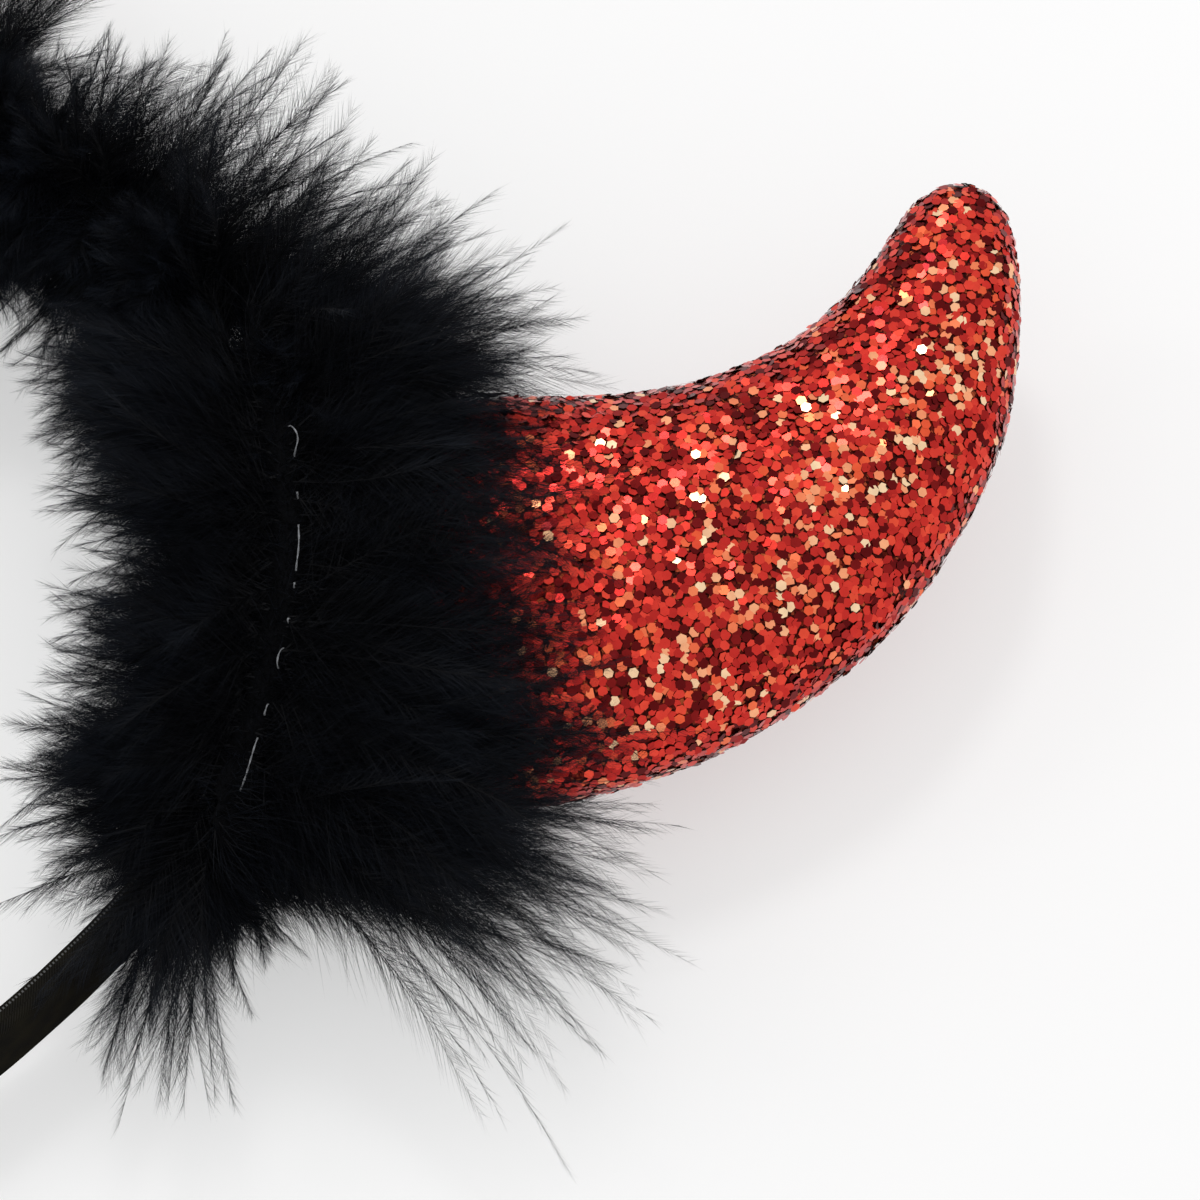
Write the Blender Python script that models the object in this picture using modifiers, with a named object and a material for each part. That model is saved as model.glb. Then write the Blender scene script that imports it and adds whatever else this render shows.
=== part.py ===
"""Devil horns headband: a satin wrapped band, two padded horns and a marabou feather trim.

The headband lies on its side on a flat surface. Every piece is modelled in the band's own plane,
with the crown's circle centred on the origin, X sideways, Y towards the crown and Z across the
band's width. An empty then tilts that plane, because the feathers hold the crown off the surface.
Lengths are metres and angles are degrees.
"""

import math
import random

import bmesh
import bpy
from mathutils import Vector

# Band
CROWN_RADIUS = 0.0595
LEG_RADIUS = 0.160
LEG_DROP = 0.075
BAND_WIDTH = 0.012
BAND_THICKNESS = 0.003
BAND_EDGE = 0.0009
CROWN_HEIGHT = 0.018

# Horns
HORN_ANGLE = 38.0
HORN_LENGTH = 0.111
HORN_WIDTH = 0.0508
HORN_THICKNESS = 0.025
SEAM_LIP = 0.0006

# Marabou
COLLAR_DEPTH = 0.0085
COLLAR_OUTWARD = 0.015
COLLAR_INWARD = 0.011
CROWN_TRIM_OUTWARD = 0.013
CROWN_TRIM_INWARD = 0.010
CROWN_TRIM_RISE = 0.012
COLLAR_LOCK = 0.017
CROWN_LOCK = 0.013
LOCK_SEED = 7

# Clearances
SEAT_GAP = 0.0003
TRIM_GAP = 0.0004

# Mesh steps
ARC_STEPS = 15
LEG_STEPS = 8
END_STEPS = 3
HORN_SIDES = 24
HORN_RINGS = 22
TIP_CROWDING = 1.4
COLLAR_STEPS = HORN_SIDES
COLLAR_SIDES = 12
CROWN_STEPS = 8
CROWN_SIDES = 13

# Sections along a horn: share of its length, shares of its width and thickness, lean from its seat
HORN_SECTIONS = (
    {"run": 0.00, "width": 0.95, "thickness": 0.94, "lean": 0},
    {"run": 0.10, "width": 0.98, "thickness": 1.00, "lean": 1},
    {"run": 0.20, "width": 1.00, "thickness": 1.00, "lean": 4},
    {"run": 0.30, "width": 0.99, "thickness": 0.99, "lean": 10},
    {"run": 0.40, "width": 0.93, "thickness": 0.96, "lean": 19},
    {"run": 0.50, "width": 0.84, "thickness": 0.90, "lean": 30},
    {"run": 0.60, "width": 0.73, "thickness": 0.83, "lean": 42},
    {"run": 0.70, "width": 0.61, "thickness": 0.74, "lean": 54},
    {"run": 0.80, "width": 0.47, "thickness": 0.62, "lean": 67},
    {"run": 0.90, "width": 0.33, "thickness": 0.50, "lean": 78},
    {"run": 0.94, "width": 0.27, "thickness": 0.42, "lean": 82},
    {"run": 0.97, "width": 0.21, "thickness": 0.34, "lean": 85},
    {"run": 0.99, "width": 0.13, "thickness": 0.22, "lean": 87},
    {"run": 1.00, "width": 0.04, "thickness": 0.08, "lean": 88},
)

# Length of the collar's locks round the horn, from the crown side (0) over the top (90)
COLLAR_REACH = (
    {"around": 0, "outward": 1.35, "inward": 0.85},
    {"around": 90, "outward": 0.85, "inward": 0.95},
    {"around": 180, "outward": 1.45, "inward": 1.35},
    {"around": 270, "outward": 1.30, "inward": 0.90},
    {"around": 360, "outward": 1.35, "inward": 0.85},
)

BAND_OUTER = CROWN_RADIUS + BAND_THICKNESS / 2
CROWN_FAN = 15
FLOOR_PRESS = 1.3
MIDDLE_SHARE = 0.50
MIDDLE_SPREAD = 0.95
TOP_LEAN = 0.28
UPRIGHT_SHARE = 0.3
TILT = math.degrees(
    math.asin((CROWN_HEIGHT - BAND_WIDTH / 2) / (CROWN_RADIUS + LEG_DROP - BAND_WIDTH / 2))
)


def clear_scene():
    for thing in list(bpy.data.objects):
        bpy.data.objects.remove(thing, do_unlink=True)


def make_material(name, colour, roughness, sheen=0.0):
    material = bpy.data.materials.new(name)
    material.use_nodes = True
    shader = material.node_tree.nodes["Principled BSDF"]
    shader.inputs["Base Color"].default_value = (*colour, 1.0)
    shader.inputs["Roughness"].default_value = roughness
    shader.inputs["Metallic"].default_value = 0.0
    shader.inputs["Sheen Weight"].default_value = sheen
    return material


def make_object(name, mesh, material, plane, collection):
    thing = bpy.data.objects.new(name, mesh)
    mesh.materials.append(material)
    collection.objects.link(thing)
    thing.parent = plane
    return thing


def mesh_from(build, name):
    bmesh.ops.recalc_face_normals(build, faces=build.faces)
    mesh = bpy.data.meshes.new(name)
    build.to_mesh(mesh)
    build.free()
    return mesh


def polar(radius, angle, height=0.0):
    turn = math.radians(angle)
    return Vector((radius * math.cos(turn), radius * math.sin(turn), height))


def signed_power(value, power):
    return math.copysign(abs(value) ** power, value)


def table_value(rows, key, at, column):
    """Reads a column smoothly between the rows on each side."""
    last = len(rows) - 1
    index = 0
    while index < last - 1 and rows[index + 1][key] < at:
        index += 1
    near = rows[index]
    far = rows[index + 1]
    before = rows[max(index - 1, 0)]
    after = rows[min(index + 2, last)]
    span = far[key] - near[key]
    share = (at - near[key]) / span
    slope_near = (far[column] - before[column]) / (far[key] - before[key])
    slope_far = (after[column] - near[column]) / (after[key] - near[key])
    square = share * share
    cube = square * share
    return (
        (2 * cube - 3 * square + 1) * near[column]
        + (cube - 2 * square + share) * span * slope_near
        + (3 * square - 2 * cube) * far[column]
        + (cube - square) * span * slope_far
    )


def band_columns():
    """Middle line of the right half, from the crown to the leg's end, and the width there."""
    columns = []
    for step in range(ARC_STEPS + 1):
        columns.append((polar(CROWN_RADIUS, 90 * (1 - step / ARC_STEPS)), 1.0))
    leg_angle = math.asin(LEG_DROP / LEG_RADIUS)
    round_angle = (BAND_WIDTH / 2) / LEG_RADIUS
    straight_angle = leg_angle - round_angle
    centre = CROWN_RADIUS - LEG_RADIUS
    turns = [straight_angle * step / LEG_STEPS for step in range(1, LEG_STEPS + 1)]
    widths = [1.0] * LEG_STEPS
    for step in range(1, END_STEPS + 1):
        rise = math.radians(80 * step / END_STEPS)
        turns.append(straight_angle + round_angle * math.sin(rise))
        widths.append(math.cos(rise))
    for turn, width in zip(turns, widths):
        place = Vector((centre + LEG_RADIUS * math.cos(turn), -LEG_RADIUS * math.sin(turn), 0))
        columns.append((place, width))
    return columns


def make_band(material, plane, collection):
    """A flat strip stood on edge: half of it as an open sheet, mirrored, thickened and rounded."""
    build = bmesh.new()
    before = None
    for place, width in band_columns():
        rise = Vector((0, 0, BAND_WIDTH / 2 * width))
        column = (build.verts.new(place - rise), build.verts.new(place + rise))
        if before:
            build.faces.new((before[0], column[0], column[1], before[1]))
        before = column
    mesh = mesh_from(build, "satin_band")
    band = make_object("satin_band", mesh, material, plane, collection)
    mirror = band.modifiers.new("other half", "MIRROR")
    mirror.merge_threshold = 0.0001
    wall = band.modifiers.new("thickness", "SOLIDIFY")
    wall.thickness = BAND_THICKNESS
    wall.offset = 0
    edges = band.modifiers.new("soft edges", "BEVEL")
    edges.width = BAND_EDGE
    edges.segments = 2
    edges.limit_method = "ANGLE"
    edges.angle_limit = math.radians(50)
    return band


def horn_frame():
    """Outward direction of the right horn's seat, and the direction along the band to the crown."""
    return polar(1, HORN_ANGLE), polar(1, HORN_ANGLE + 90)


def horn_spine():
    """Places, directions and sizes of the rings along the right horn."""
    rings = []
    place = polar(BAND_OUTER, HORN_ANGLE)
    runs = [1 - (1 - ring / HORN_RINGS) ** TIP_CROWDING for ring in range(HORN_RINGS + 1)]
    for run, after in zip(runs, runs[1:]):
        lean = table_value(HORN_SECTIONS, "run", run, "lean")
        width = table_value(HORN_SECTIONS, "run", run, "width") * HORN_WIDTH
        thickness = table_value(HORN_SECTIONS, "run", run, "thickness") * HORN_THICKNESS
        along = polar(1, HORN_ANGLE + lean)
        rings.append((place.copy(), along, width, thickness))
        middle_lean = table_value(HORN_SECTIONS, "run", (run + after) / 2, "lean")
        place += polar(HORN_LENGTH * (after - run), HORN_ANGLE + middle_lean)
    return rings, place


def horn_section(width, thickness):
    """Offsets across and up: two padded panels that meet in a narrow seam on each side."""
    offsets = []
    for side in range(HORN_SIDES):
        turn = math.tau * side / HORN_SIDES
        across = signed_power(math.cos(turn), 0.90) * width / 2
        if side % (HORN_SIDES // 2) == 0:
            across += math.copysign(SEAM_LIP, across)
        up = signed_power(math.sin(turn), 0.86) * thickness / 2
        offsets.append((across, up))
    return offsets


def seat_point(across, up, clearance):
    """A point on the band's outer face, widened past the band's edges, with a clearance."""
    outward, along_band = horn_frame()
    radius = BAND_OUTER + clearance
    distance = math.sqrt(max(radius * radius - across * across, 0.0))
    return outward * distance + along_band * across + Vector((0, 0, up))


def build_horn():
    build = bmesh.new()
    rings, tip_place = horn_spine()
    before = None
    for number, (place, along, width, thickness) in enumerate(rings):
        sideways = Vector((-along.y, along.x, 0))
        ring = []
        for across, up in horn_section(width, thickness):
            if number == 0:
                ring.append(build.verts.new(seat_point(across, up, SEAT_GAP)))
            else:
                ring.append(build.verts.new(place + sideways * across + Vector((0, 0, up))))
        if before:
            bridge(build, before, ring)
        else:
            close_seat(build, ring)
        before = ring
    tip = build.verts.new(tip_place)
    for side in range(HORN_SIDES):
        build.faces.new((before[side], before[(side + 1) % HORN_SIDES], tip))
    return build


def bridge(build, first, second):
    count = len(first)
    for side in range(count):
        after = (side + 1) % count
        build.faces.new((first[side], first[after], second[after], second[side]))


def close_seat(build, ring):
    """Closes the horn's base with faces that lie across the band, so that they follow its curve."""
    half = HORN_SIDES // 2
    build.faces.new((ring[0], ring[HORN_SIDES - 1], ring[1]))
    for side in range(1, half - 1):
        mirrored = HORN_SIDES - side
        build.faces.new((ring[side], ring[mirrored], ring[mirrored - 1], ring[side + 1]))
    build.faces.new((ring[half - 1], ring[half + 1], ring[half]))


def mirrored(build):
    """The same shape for the left side."""
    other = build.copy()
    for vert in other.verts:
        vert.co.x = -vert.co.x
    bmesh.ops.reverse_faces(other, faces=other.faces)
    return other


def collar_frame(around):
    """Point on the horn's side at an angle round it, and the direction away from the horn."""
    turn = math.radians(around)
    across = signed_power(math.cos(turn), 0.90) * (HORN_WIDTH / 2 + SEAM_LIP)
    up = signed_power(math.sin(turn), 0.86) * HORN_THICKNESS / 2
    away = Vector((math.cos(turn), math.sin(turn) * HORN_WIDTH / HORN_THICKNESS, 0)).normalized()
    return across, up, away


def collar_depth(around, floor):
    """Depth of the collar outside the horn, thinned where it lies between the horn and the floor."""
    across, up, away = collar_frame(around)
    if away.y > -0.2:
        return COLLAR_DEPTH
    return min(COLLAR_DEPTH, (up - floor) / -away.y - TRIM_GAP)


def collar_low(around):
    """How far the collar reaches inward: not at all beside the band, and past it above and below."""
    _, up, _ = collar_frame(around)
    free = abs(up) - BAND_WIDTH / 2 - 2 * TRIM_GAP
    share = min(max(free / (HORN_THICKNESS / 2 - BAND_WIDTH / 2) * 1.4, 0.0), 1.0)
    return TRIM_GAP - (COLLAR_INWARD + TRIM_GAP) * share


def collar_point(around, side, floor):
    across, up, away = collar_frame(around)
    turn = math.radians(side)
    depth = collar_depth(around, floor)
    low = collar_low(around)
    apart = TRIM_GAP + depth / 2 * (1 + signed_power(math.cos(turn), 0.75))
    height = (COLLAR_OUTWARD + low) / 2 + (COLLAR_OUTWARD - low) / 2 * signed_power(math.sin(turn), 0.8)
    across += away.x * apart
    up += away.y * apart
    return seat_point(across, up, height)


def collar_lock(around, side):
    """Direction and length of the lock on a cell of the collar."""
    _, _, away = collar_frame(around)
    outward, along_band = horn_frame()
    turn = math.radians(side)
    rise = away.y * (TOP_LEAN if away.y > 0 else 0.15)
    direction = (
        along_band * away.x * math.cos(turn)
        + outward * math.sin(turn)
        + Vector((0, 0, rise * math.cos(turn)))
    )
    column = "outward" if math.sin(turn) > 0 else "inward"
    length = table_value(COLLAR_REACH, "around", around, column) * COLLAR_LOCK
    return direction.normalized(), length * upright_share(direction)


def upright_share(direction):
    """Locks that stand up straight along the trim's parting are short."""
    return min(1.0, UPRIGHT_SHARE + math.hypot(direction.x, direction.y))


def collar_grows(around, side):
    """Locks grow on the outer cells, apart from those that press on the floor or face the band."""
    _, up, away = collar_frame(around)
    if math.cos(math.radians(side)) < -0.35:
        return False
    if away.y < -0.55 and math.cos(math.radians(side)) > 0.35:
        return False
    beside_band = abs(up) < BAND_WIDTH / 2 + COLLAR_DEPTH / 2
    return not (beside_band and math.sin(math.radians(side)) < -0.5)


def horn_guard(point, rings):
    """Moves a point out of the horn, sideways or upwards, whichever way is nearer."""
    flat = Vector((point.x, point.y, 0))
    place, along, width, thickness = min(rings, key=lambda ring: (ring[0] - flat).length)
    sideways = Vector((-along.y, along.x, 0))
    across = (flat - place).dot(sideways)
    beside = width / 2 + SEAM_LIP + 3 * TRIM_GAP - abs(across)
    within = thickness / 2 + 3 * TRIM_GAP - abs(point.z)
    if beside <= 0 or within <= 0 or flat.length < BAND_OUTER:
        return point
    if beside < within:
        return point + sideways * math.copysign(beside, across)
    return point + Vector((0, 0, math.copysign(within, point.z)))


def lock_guard(point, floor_at, sector, rings):
    """Keeps a lock above the floor, outside the horn and on its own side of the trim's joint."""
    kept = horn_guard(point, rings)
    kept.z = max(kept.z, floor_at(kept.y))
    return sector_guard(kept, sector)


def sector_guard(point, sector):
    """Turns a point back about the crown's centre if it lies past the sector's first or last angle."""
    angle = math.degrees(math.atan2(point.y, point.x))
    held = min(max(angle, sector[0]), sector[1])
    if held == angle:
        return point
    return polar(math.hypot(point.x, point.y), held, point.z)


def grow_lock(build, corners, direction, length, guard):
    """Raises a tapered lock of feather on a cell of the backing."""
    centre = sum((corner.co for corner in corners), Vector()) / len(corners)
    middle_centre = centre + direction * length * MIDDLE_SHARE
    middle = []
    for corner in corners:
        middle.append(build.verts.new(guard(middle_centre + (corner.co - centre) * MIDDLE_SPREAD)))
    tip = build.verts.new(guard(centre + direction * length))
    bridge(build, corners, middle)
    for side in range(len(middle)):
        build.faces.new((middle[side], middle[(side + 1) % len(middle)], tip))


def build_collar(floor_at, sector, chance):
    """Feather trim round the right horn: a closed ring of backing with locks fused to its outside."""
    build = bmesh.new()
    rings, _ = horn_spine()
    rows = []
    for step in range(COLLAR_STEPS):
        around = 360 * step / COLLAR_STEPS
        across, _, _ = collar_frame(around)
        floor = floor_at(seat_point(across, 0, 0).y)
        row = []
        for side in range(COLLAR_SIDES):
            point = collar_point(around, 360 * side / COLLAR_SIDES, floor)
            point.z = max(point.z, floor_at(point.y))
            row.append(build.verts.new(sector_guard(point, sector)))
        rows.append(row)
    for step in range(COLLAR_STEPS):
        around = 360 * (step + 0.5) / COLLAR_STEPS
        first = rows[step]
        second = rows[(step + 1) % COLLAR_STEPS]
        for number in range(COLLAR_SIDES):
            after = (number + 1) % COLLAR_SIDES
            side = 360 * (number + 0.5) / COLLAR_SIDES
            corners = (first[number], first[after], second[after], second[number])
            if collar_grows(around, side):
                direction, length = collar_lock(around, side)
                length *= chance.uniform(0.72, 1.12)
                grow_lock(build, corners, direction, length, lambda p: lock_guard(p, floor_at, sector, rings))
            else:
                build.faces.new(corners)
    return build


def crown_outline(angle, floor_at):
    """Section of the crown's trim, as distances from the band's outer face and heights."""
    notch = BAND_WIDTH / 2 + TRIM_GAP
    lip = -BAND_THICKNESS - CROWN_TRIM_INWARD / 2
    middle = (CROWN_TRIM_OUTWARD - CROWN_TRIM_INWARD) / 2
    half = (CROWN_TRIM_OUTWARD + CROWN_TRIM_INWARD) / 2
    outline = []
    for side in range(CROWN_SIDES):
        turn = math.radians(150 - 300 * side / (CROWN_SIDES - 1))
        away = middle + half * signed_power(math.cos(turn), 0.8)
        up = CROWN_TRIM_RISE * signed_power(math.sin(turn), 0.8)
        if up < 0:
            up *= CROWN_HEIGHT / CROWN_TRIM_RISE * FLOOR_PRESS
        height = max(up, floor_at((BAND_OUTER + away) * math.sin(math.radians(angle))))
        outline.append((away, height))
    outline += [(lip, -notch), (TRIM_GAP, -notch), (TRIM_GAP, notch), (lip, notch)]
    return outline


def crown_lock(angle, side):
    """Direction and length of the lock on a cell of the crown's trim."""
    turn = math.radians(150 - 300 * side / (CROWN_SIDES - 1))
    rise = math.sin(turn) * (TOP_LEAN if math.sin(turn) > 0 else 0.2)
    lean = (angle - 90) * 0.4
    direction = polar(math.cos(turn), angle + lean) + Vector((0, 0, rise))
    beside_collar = abs(angle - 90) / CROWN_FAN
    reach = 0.8 + 0.9 * beside_collar if math.cos(turn) > 0 else 0.9
    return direction.normalized(), CROWN_LOCK * reach * upright_share(direction)


def build_crown(floor_at, sector, chance):
    """Feather trim over the crown: a backing that wraps the band's outer side, with fused locks."""
    build = bmesh.new()
    rows = []
    for step in range(CROWN_STEPS + 1):
        angle = sector[0] + (sector[1] - sector[0]) * step / CROWN_STEPS
        outline = crown_outline(angle, floor_at)
        rows.append([build.verts.new(polar(BAND_OUTER + away, angle, up)) for away, up in outline])
    for step in range(CROWN_STEPS):
        angle = sector[0] + (sector[1] - sector[0]) * (step + 0.5) / CROWN_STEPS
        count = len(rows[0])
        for number in range(count):
            after = (number + 1) % count
            first = rows[step]
            second = rows[step + 1]
            corners = (first[number], first[after], second[after], second[number])
            turn = 150 - 300 * (number + 0.5) / (CROWN_SIDES - 1)
            if number < CROWN_SIDES - 1 and not -130 < turn < -40:
                direction, length = crown_lock(angle, number + 0.5)
                length *= chance.uniform(0.75, 1.15)
                grow_lock(
                    build,
                    corners,
                    direction,
                    length,
                    lambda p: sector_guard(Vector((p.x, p.y, max(p.z, floor_at(p.y)))), sector),
                )
            else:
                build.faces.new(corners)
    build.faces.new(rows[0])
    build.faces.new(list(reversed(rows[-1])))
    return build


def lowest(band, tilt):
    """Lowest point of the tilted band below its crown circle's centre."""
    bpy.context.view_layer.update()
    mesh = band.evaluated_get(bpy.context.evaluated_depsgraph_get()).to_mesh()
    turn = math.radians(tilt)
    return min(v.co.y * math.sin(turn) + v.co.z * math.cos(turn) for v in mesh.vertices)


def centre_plane(plane, pieces):
    """Moves the tilted plane so that the pieces' box is centred over the origin."""
    bpy.context.view_layer.update()
    graph = bpy.context.evaluated_depsgraph_get()
    lows = []
    highs = []
    for piece in pieces:
        shape = piece.evaluated_get(graph)
        places = [shape.matrix_world @ v.co for v in shape.to_mesh().vertices]
        lows.append(min(place.y for place in places))
        highs.append(max(place.y for place in places))
    plane.location.y -= (min(lows) + max(highs)) / 2


def main():
    clear_scene()
    collection = bpy.data.collections.new("devil_horns_headband")
    bpy.context.scene.collection.children.link(collection)
    plane = bpy.data.objects.new("headband_plane", None)
    collection.objects.link(plane)
    plane.rotation_euler.x = math.radians(TILT)

    satin = make_material("black_satin", (0.010, 0.009, 0.008), 0.42)
    glitter = make_material("red_glitter", (0.55, 0.03, 0.02), 0.35)
    feather = make_material("black_marabou", (0.006, 0.007, 0.009), 0.75, sheen=0.3)

    band = make_band(satin, plane, collection)
    lift = -lowest(band, TILT)
    plane.location.z = lift

    def floor_at(y):
        turn = math.radians(TILT)
        return -(lift + y * math.sin(turn)) / math.cos(turn)

    collar_edge = HORN_WIDTH / 2 + TRIM_GAP + COLLAR_DEPTH
    joint = HORN_ANGLE + math.degrees(math.asin(collar_edge / BAND_OUTER)) + 1.0
    margin = math.degrees(TRIM_GAP / BAND_OUTER)
    chance = random.Random(LOCK_SEED)

    horn = build_horn()
    collar = build_collar(floor_at, (-90.0, joint - margin), chance)
    crown = build_crown(floor_at, (joint + margin, 180 - joint - margin), chance)
    pieces = [band]
    for side, shapes in (("left", (mirrored(horn), mirrored(collar))), ("right", (horn, collar))):
        horn_mesh = mesh_from(shapes[0], f"horn_{side}")
        pieces.append(make_object(f"horn_{side}", horn_mesh, glitter, plane, collection))
        collar_mesh = mesh_from(shapes[1], f"marabou_collar_{side}")
        pieces.append(make_object(f"marabou_collar_{side}", collar_mesh, feather, plane, collection))
    crown_mesh = mesh_from(crown, "marabou_crown")
    pieces.append(make_object("marabou_crown", crown_mesh, feather, plane, collection))

    for piece in pieces:
        if not piece.name.startswith("marabou"):
            piece.data.shade_smooth()
            piece.data.set_sharp_from_angle(angle=math.radians(40))
    centre_plane(plane, pieces)


main()
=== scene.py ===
"""Looks of the devil horns headband: a satin ribbon band, glitter horns and a marabou trim."""

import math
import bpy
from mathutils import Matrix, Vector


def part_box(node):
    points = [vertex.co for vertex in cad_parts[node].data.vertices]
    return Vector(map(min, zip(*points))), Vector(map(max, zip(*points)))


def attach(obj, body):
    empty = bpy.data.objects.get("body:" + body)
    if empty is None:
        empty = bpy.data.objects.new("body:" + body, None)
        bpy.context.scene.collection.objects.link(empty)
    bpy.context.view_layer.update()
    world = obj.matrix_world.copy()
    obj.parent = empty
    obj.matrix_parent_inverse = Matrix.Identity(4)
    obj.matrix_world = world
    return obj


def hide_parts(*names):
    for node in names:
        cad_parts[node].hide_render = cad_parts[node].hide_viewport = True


bl_info = {
    "name": "Devil Horns Headband",
    "version": (1, 0, 0),
    "blender": (4, 5, 0),
    "location": "View3D > Sidebar > Headband",
    "description": "Dresses the packed headband in satin ribbon, glitter flakes and marabou feather",
    "category": "Add Mesh",
}

import bpy
import numpy as np
from bpy.props import FloatProperty, FloatVectorProperty, IntProperty, PointerProperty
from mathutils import Vector

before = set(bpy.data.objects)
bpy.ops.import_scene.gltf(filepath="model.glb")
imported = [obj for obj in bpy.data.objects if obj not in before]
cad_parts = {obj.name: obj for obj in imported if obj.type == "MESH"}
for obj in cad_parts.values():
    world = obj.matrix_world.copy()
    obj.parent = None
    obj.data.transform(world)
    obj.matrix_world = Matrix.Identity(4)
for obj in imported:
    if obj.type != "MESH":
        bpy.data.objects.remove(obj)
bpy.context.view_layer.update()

MM = 0.001


def node_points(node):
    """The vertices of a CAD node as rows of three numbers."""
    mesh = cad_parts[node].data
    flat = np.empty(len(mesh.vertices) * 3)
    mesh.vertices.foreach_get("co", flat)
    return flat.reshape(-1, 3)


# The band's own plane, read from its widest points and from the top of its crown
band_points = node_points("satin_band")
widest = band_points[band_points[:, 0] > band_points[:, 0].max() - 0.02 * MM].mean(axis=0)
crown_middle = band_points[np.abs(band_points[:, 0]) < 0.02 * MM].mean(axis=0)
PLANE_TILT = math.atan2(crown_middle[2] - widest[2], crown_middle[1] - widest[1])
PLANE_ORIGIN = np.array((0.0, widest[1], widest[2]))
PLANE_AXES = np.array(
    (
        (1.0, 0.0, 0.0),
        (0.0, math.cos(PLANE_TILT), math.sin(PLANE_TILT)),
        (0.0, -math.sin(PLANE_TILT), math.cos(PLANE_TILT)),
    )
)
BAND_OUTER = float(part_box("satin_band")[1].x)


def from_plane(points):
    """Turns points in the band's plane into points of the frame."""
    return np.asarray(points) @ PLANE_AXES + PLANE_ORIGIN


def to_plane(points):
    return (np.asarray(points) - PLANE_ORIGIN) @ PLANE_AXES.T


def unit(vectors):
    return vectors / np.maximum(np.linalg.norm(vectors, axis=-1, keepdims=True), 1e-9)


def floor_in_plane(across_plane_y):
    """Height, in the band's plane, of the surface that the headband lies on."""
    return -(PLANE_ORIGIN[2] + across_plane_y * math.sin(PLANE_TILT)) / math.cos(PLANE_TILT)


def length_setting(name, description, millimetres):
    return FloatProperty(name=name, description=description, default=millimetres * MM, unit="LENGTH")


def count_setting(name, description, count):
    return IntProperty(name=name, description=description, default=count)


def colour_setting(name, description, colour):
    return FloatVectorProperty(name=name, description=description, default=colour, subtype="COLOR")


class HeadbandSizes(bpy.types.PropertyGroup):
    band_width: length_setting("Band Width", "Width of the satin strip, across the band", 12.0)
    band_thickness: length_setting("Band Thickness", "Thickness of the strip with its ribbon", 3.0)
    leg_radius: length_setting("Leg Radius", "Radius of the inward curve of each leg", 160.0)
    leg_drop: length_setting("Leg Drop", "From the centre of the crown's circle down to the leg ends", 75.0)
    horn_angle: FloatProperty(
        name="Horn Angle",
        description="Place of the horn's seat round the crown, from the side",
        default=math.radians(38.0),
        subtype="ANGLE",
    )
    horn_width: length_setting("Horn Width", "Width of the horn at its base", 50.8)
    horn_thickness: length_setting("Horn Thickness", "Padded thickness of the horn at its base", 25.0)
    flake_size: length_setting("Flake Size", "Width of a glitter hexagon across its flats", 1.18)
    flake_spacing: length_setting("Flake Spacing", "Least distance between the middles of two flakes", 0.77)
    collar_plumes: count_setting("Collar Plumes", "Marabou plumes round each horn", 1500)
    crown_plumes: count_setting("Crown Plumes", "Marabou plumes over the crown", 640)
    plume_barbs: count_setting("Plume Barbs", "Fine barbs on each plume", 202)
    barb_width: length_setting("Barb Width", "Width of a barb at its root", 0.056)


class HeadbandColours(bpy.types.PropertyGroup):
    satin: colour_setting("Satin", "Black ribbon with a warm cast", (0.0050, 0.0047, 0.0042))
    marabou: colour_setting("Marabou", "Blue black of the feather barbs", (0.0015, 0.0017, 0.0026))
    thread: colour_setting("Thread", "Pale grey of the stitching thread", (0.24, 0.25, 0.27))
    glitter: colour_setting("Glitter", "Main red of the flakes", (0.80, 0.050, 0.034))
    floor: colour_setting("Floor", "White of the light table that the headband lies on", (0.46, 0.46, 0.46))


def sizes():
    return bpy.context.scene.headband_sizes


def colours():
    return bpy.context.scene.headband_colours


def select_only(thing):
    bpy.ops.object.select_all(action="DESELECT")
    thing.select_set(True)
    bpy.context.view_layer.objects.active = thing


def apply_modifier(thing, kind, **settings):
    """Adds a modifier with these settings and applies it."""
    select_only(thing)
    modifier = thing.modifiers.new(kind.lower(), kind)
    for key, value in settings.items():
        setattr(modifier, key, value)
    bpy.ops.object.modifier_apply(modifier=modifier.name)


def mesh_from_arrays(name, vertices, quads=None, triangles=None, hexagons=None):
    """A mesh object from rows of points and rows of corner numbers."""
    mesh = bpy.data.meshes.new(name)
    groups = [group for group in (quads, triangles, hexagons) if group is not None and len(group)]
    loops = np.concatenate([group.ravel() for group in groups]).astype(np.int32)
    counts = np.concatenate([np.full(len(group), group.shape[1]) for group in groups])
    starts = np.concatenate(((0,), np.cumsum(counts)[:-1])).astype(np.int32)
    mesh.vertices.add(len(vertices))
    mesh.vertices.foreach_set("co", np.ascontiguousarray(vertices, np.float32).ravel())
    mesh.loops.add(len(loops))
    mesh.loops.foreach_set("vertex_index", loops)
    mesh.polygons.add(len(counts))
    mesh.polygons.foreach_set("loop_start", starts)
    mesh.update(calc_edges=True)
    mesh.validate()
    thing = bpy.data.objects.new(name, mesh)
    bpy.context.scene.collection.objects.link(thing)
    return thing


def set_point_values(thing, name, values):
    attribute = thing.data.attributes.new(name, "FLOAT", "POINT")
    attribute.data.foreach_set("value", np.ascontiguousarray(values, np.float32))


def finish_piece(thing, material, slot, *nodes):
    thing.data.materials.clear()
    thing.data.materials.append(material)
    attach(thing, "root")
    if nodes:
        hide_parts(*nodes)


def mirrored_copy(thing, name):
    """The same piece for the left side, with its faces turned to point outwards again."""
    other = bpy.data.objects.new(name, thing.data.copy())
    bpy.context.scene.collection.objects.link(other)
    mesh = other.data
    points = np.empty(len(mesh.vertices) * 3, np.float32)
    mesh.vertices.foreach_get("co", points)
    points[0::3] *= -1
    mesh.vertices.foreach_set("co", points)
    mesh.flip_normals()
    mesh.update()
    return other


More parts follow.
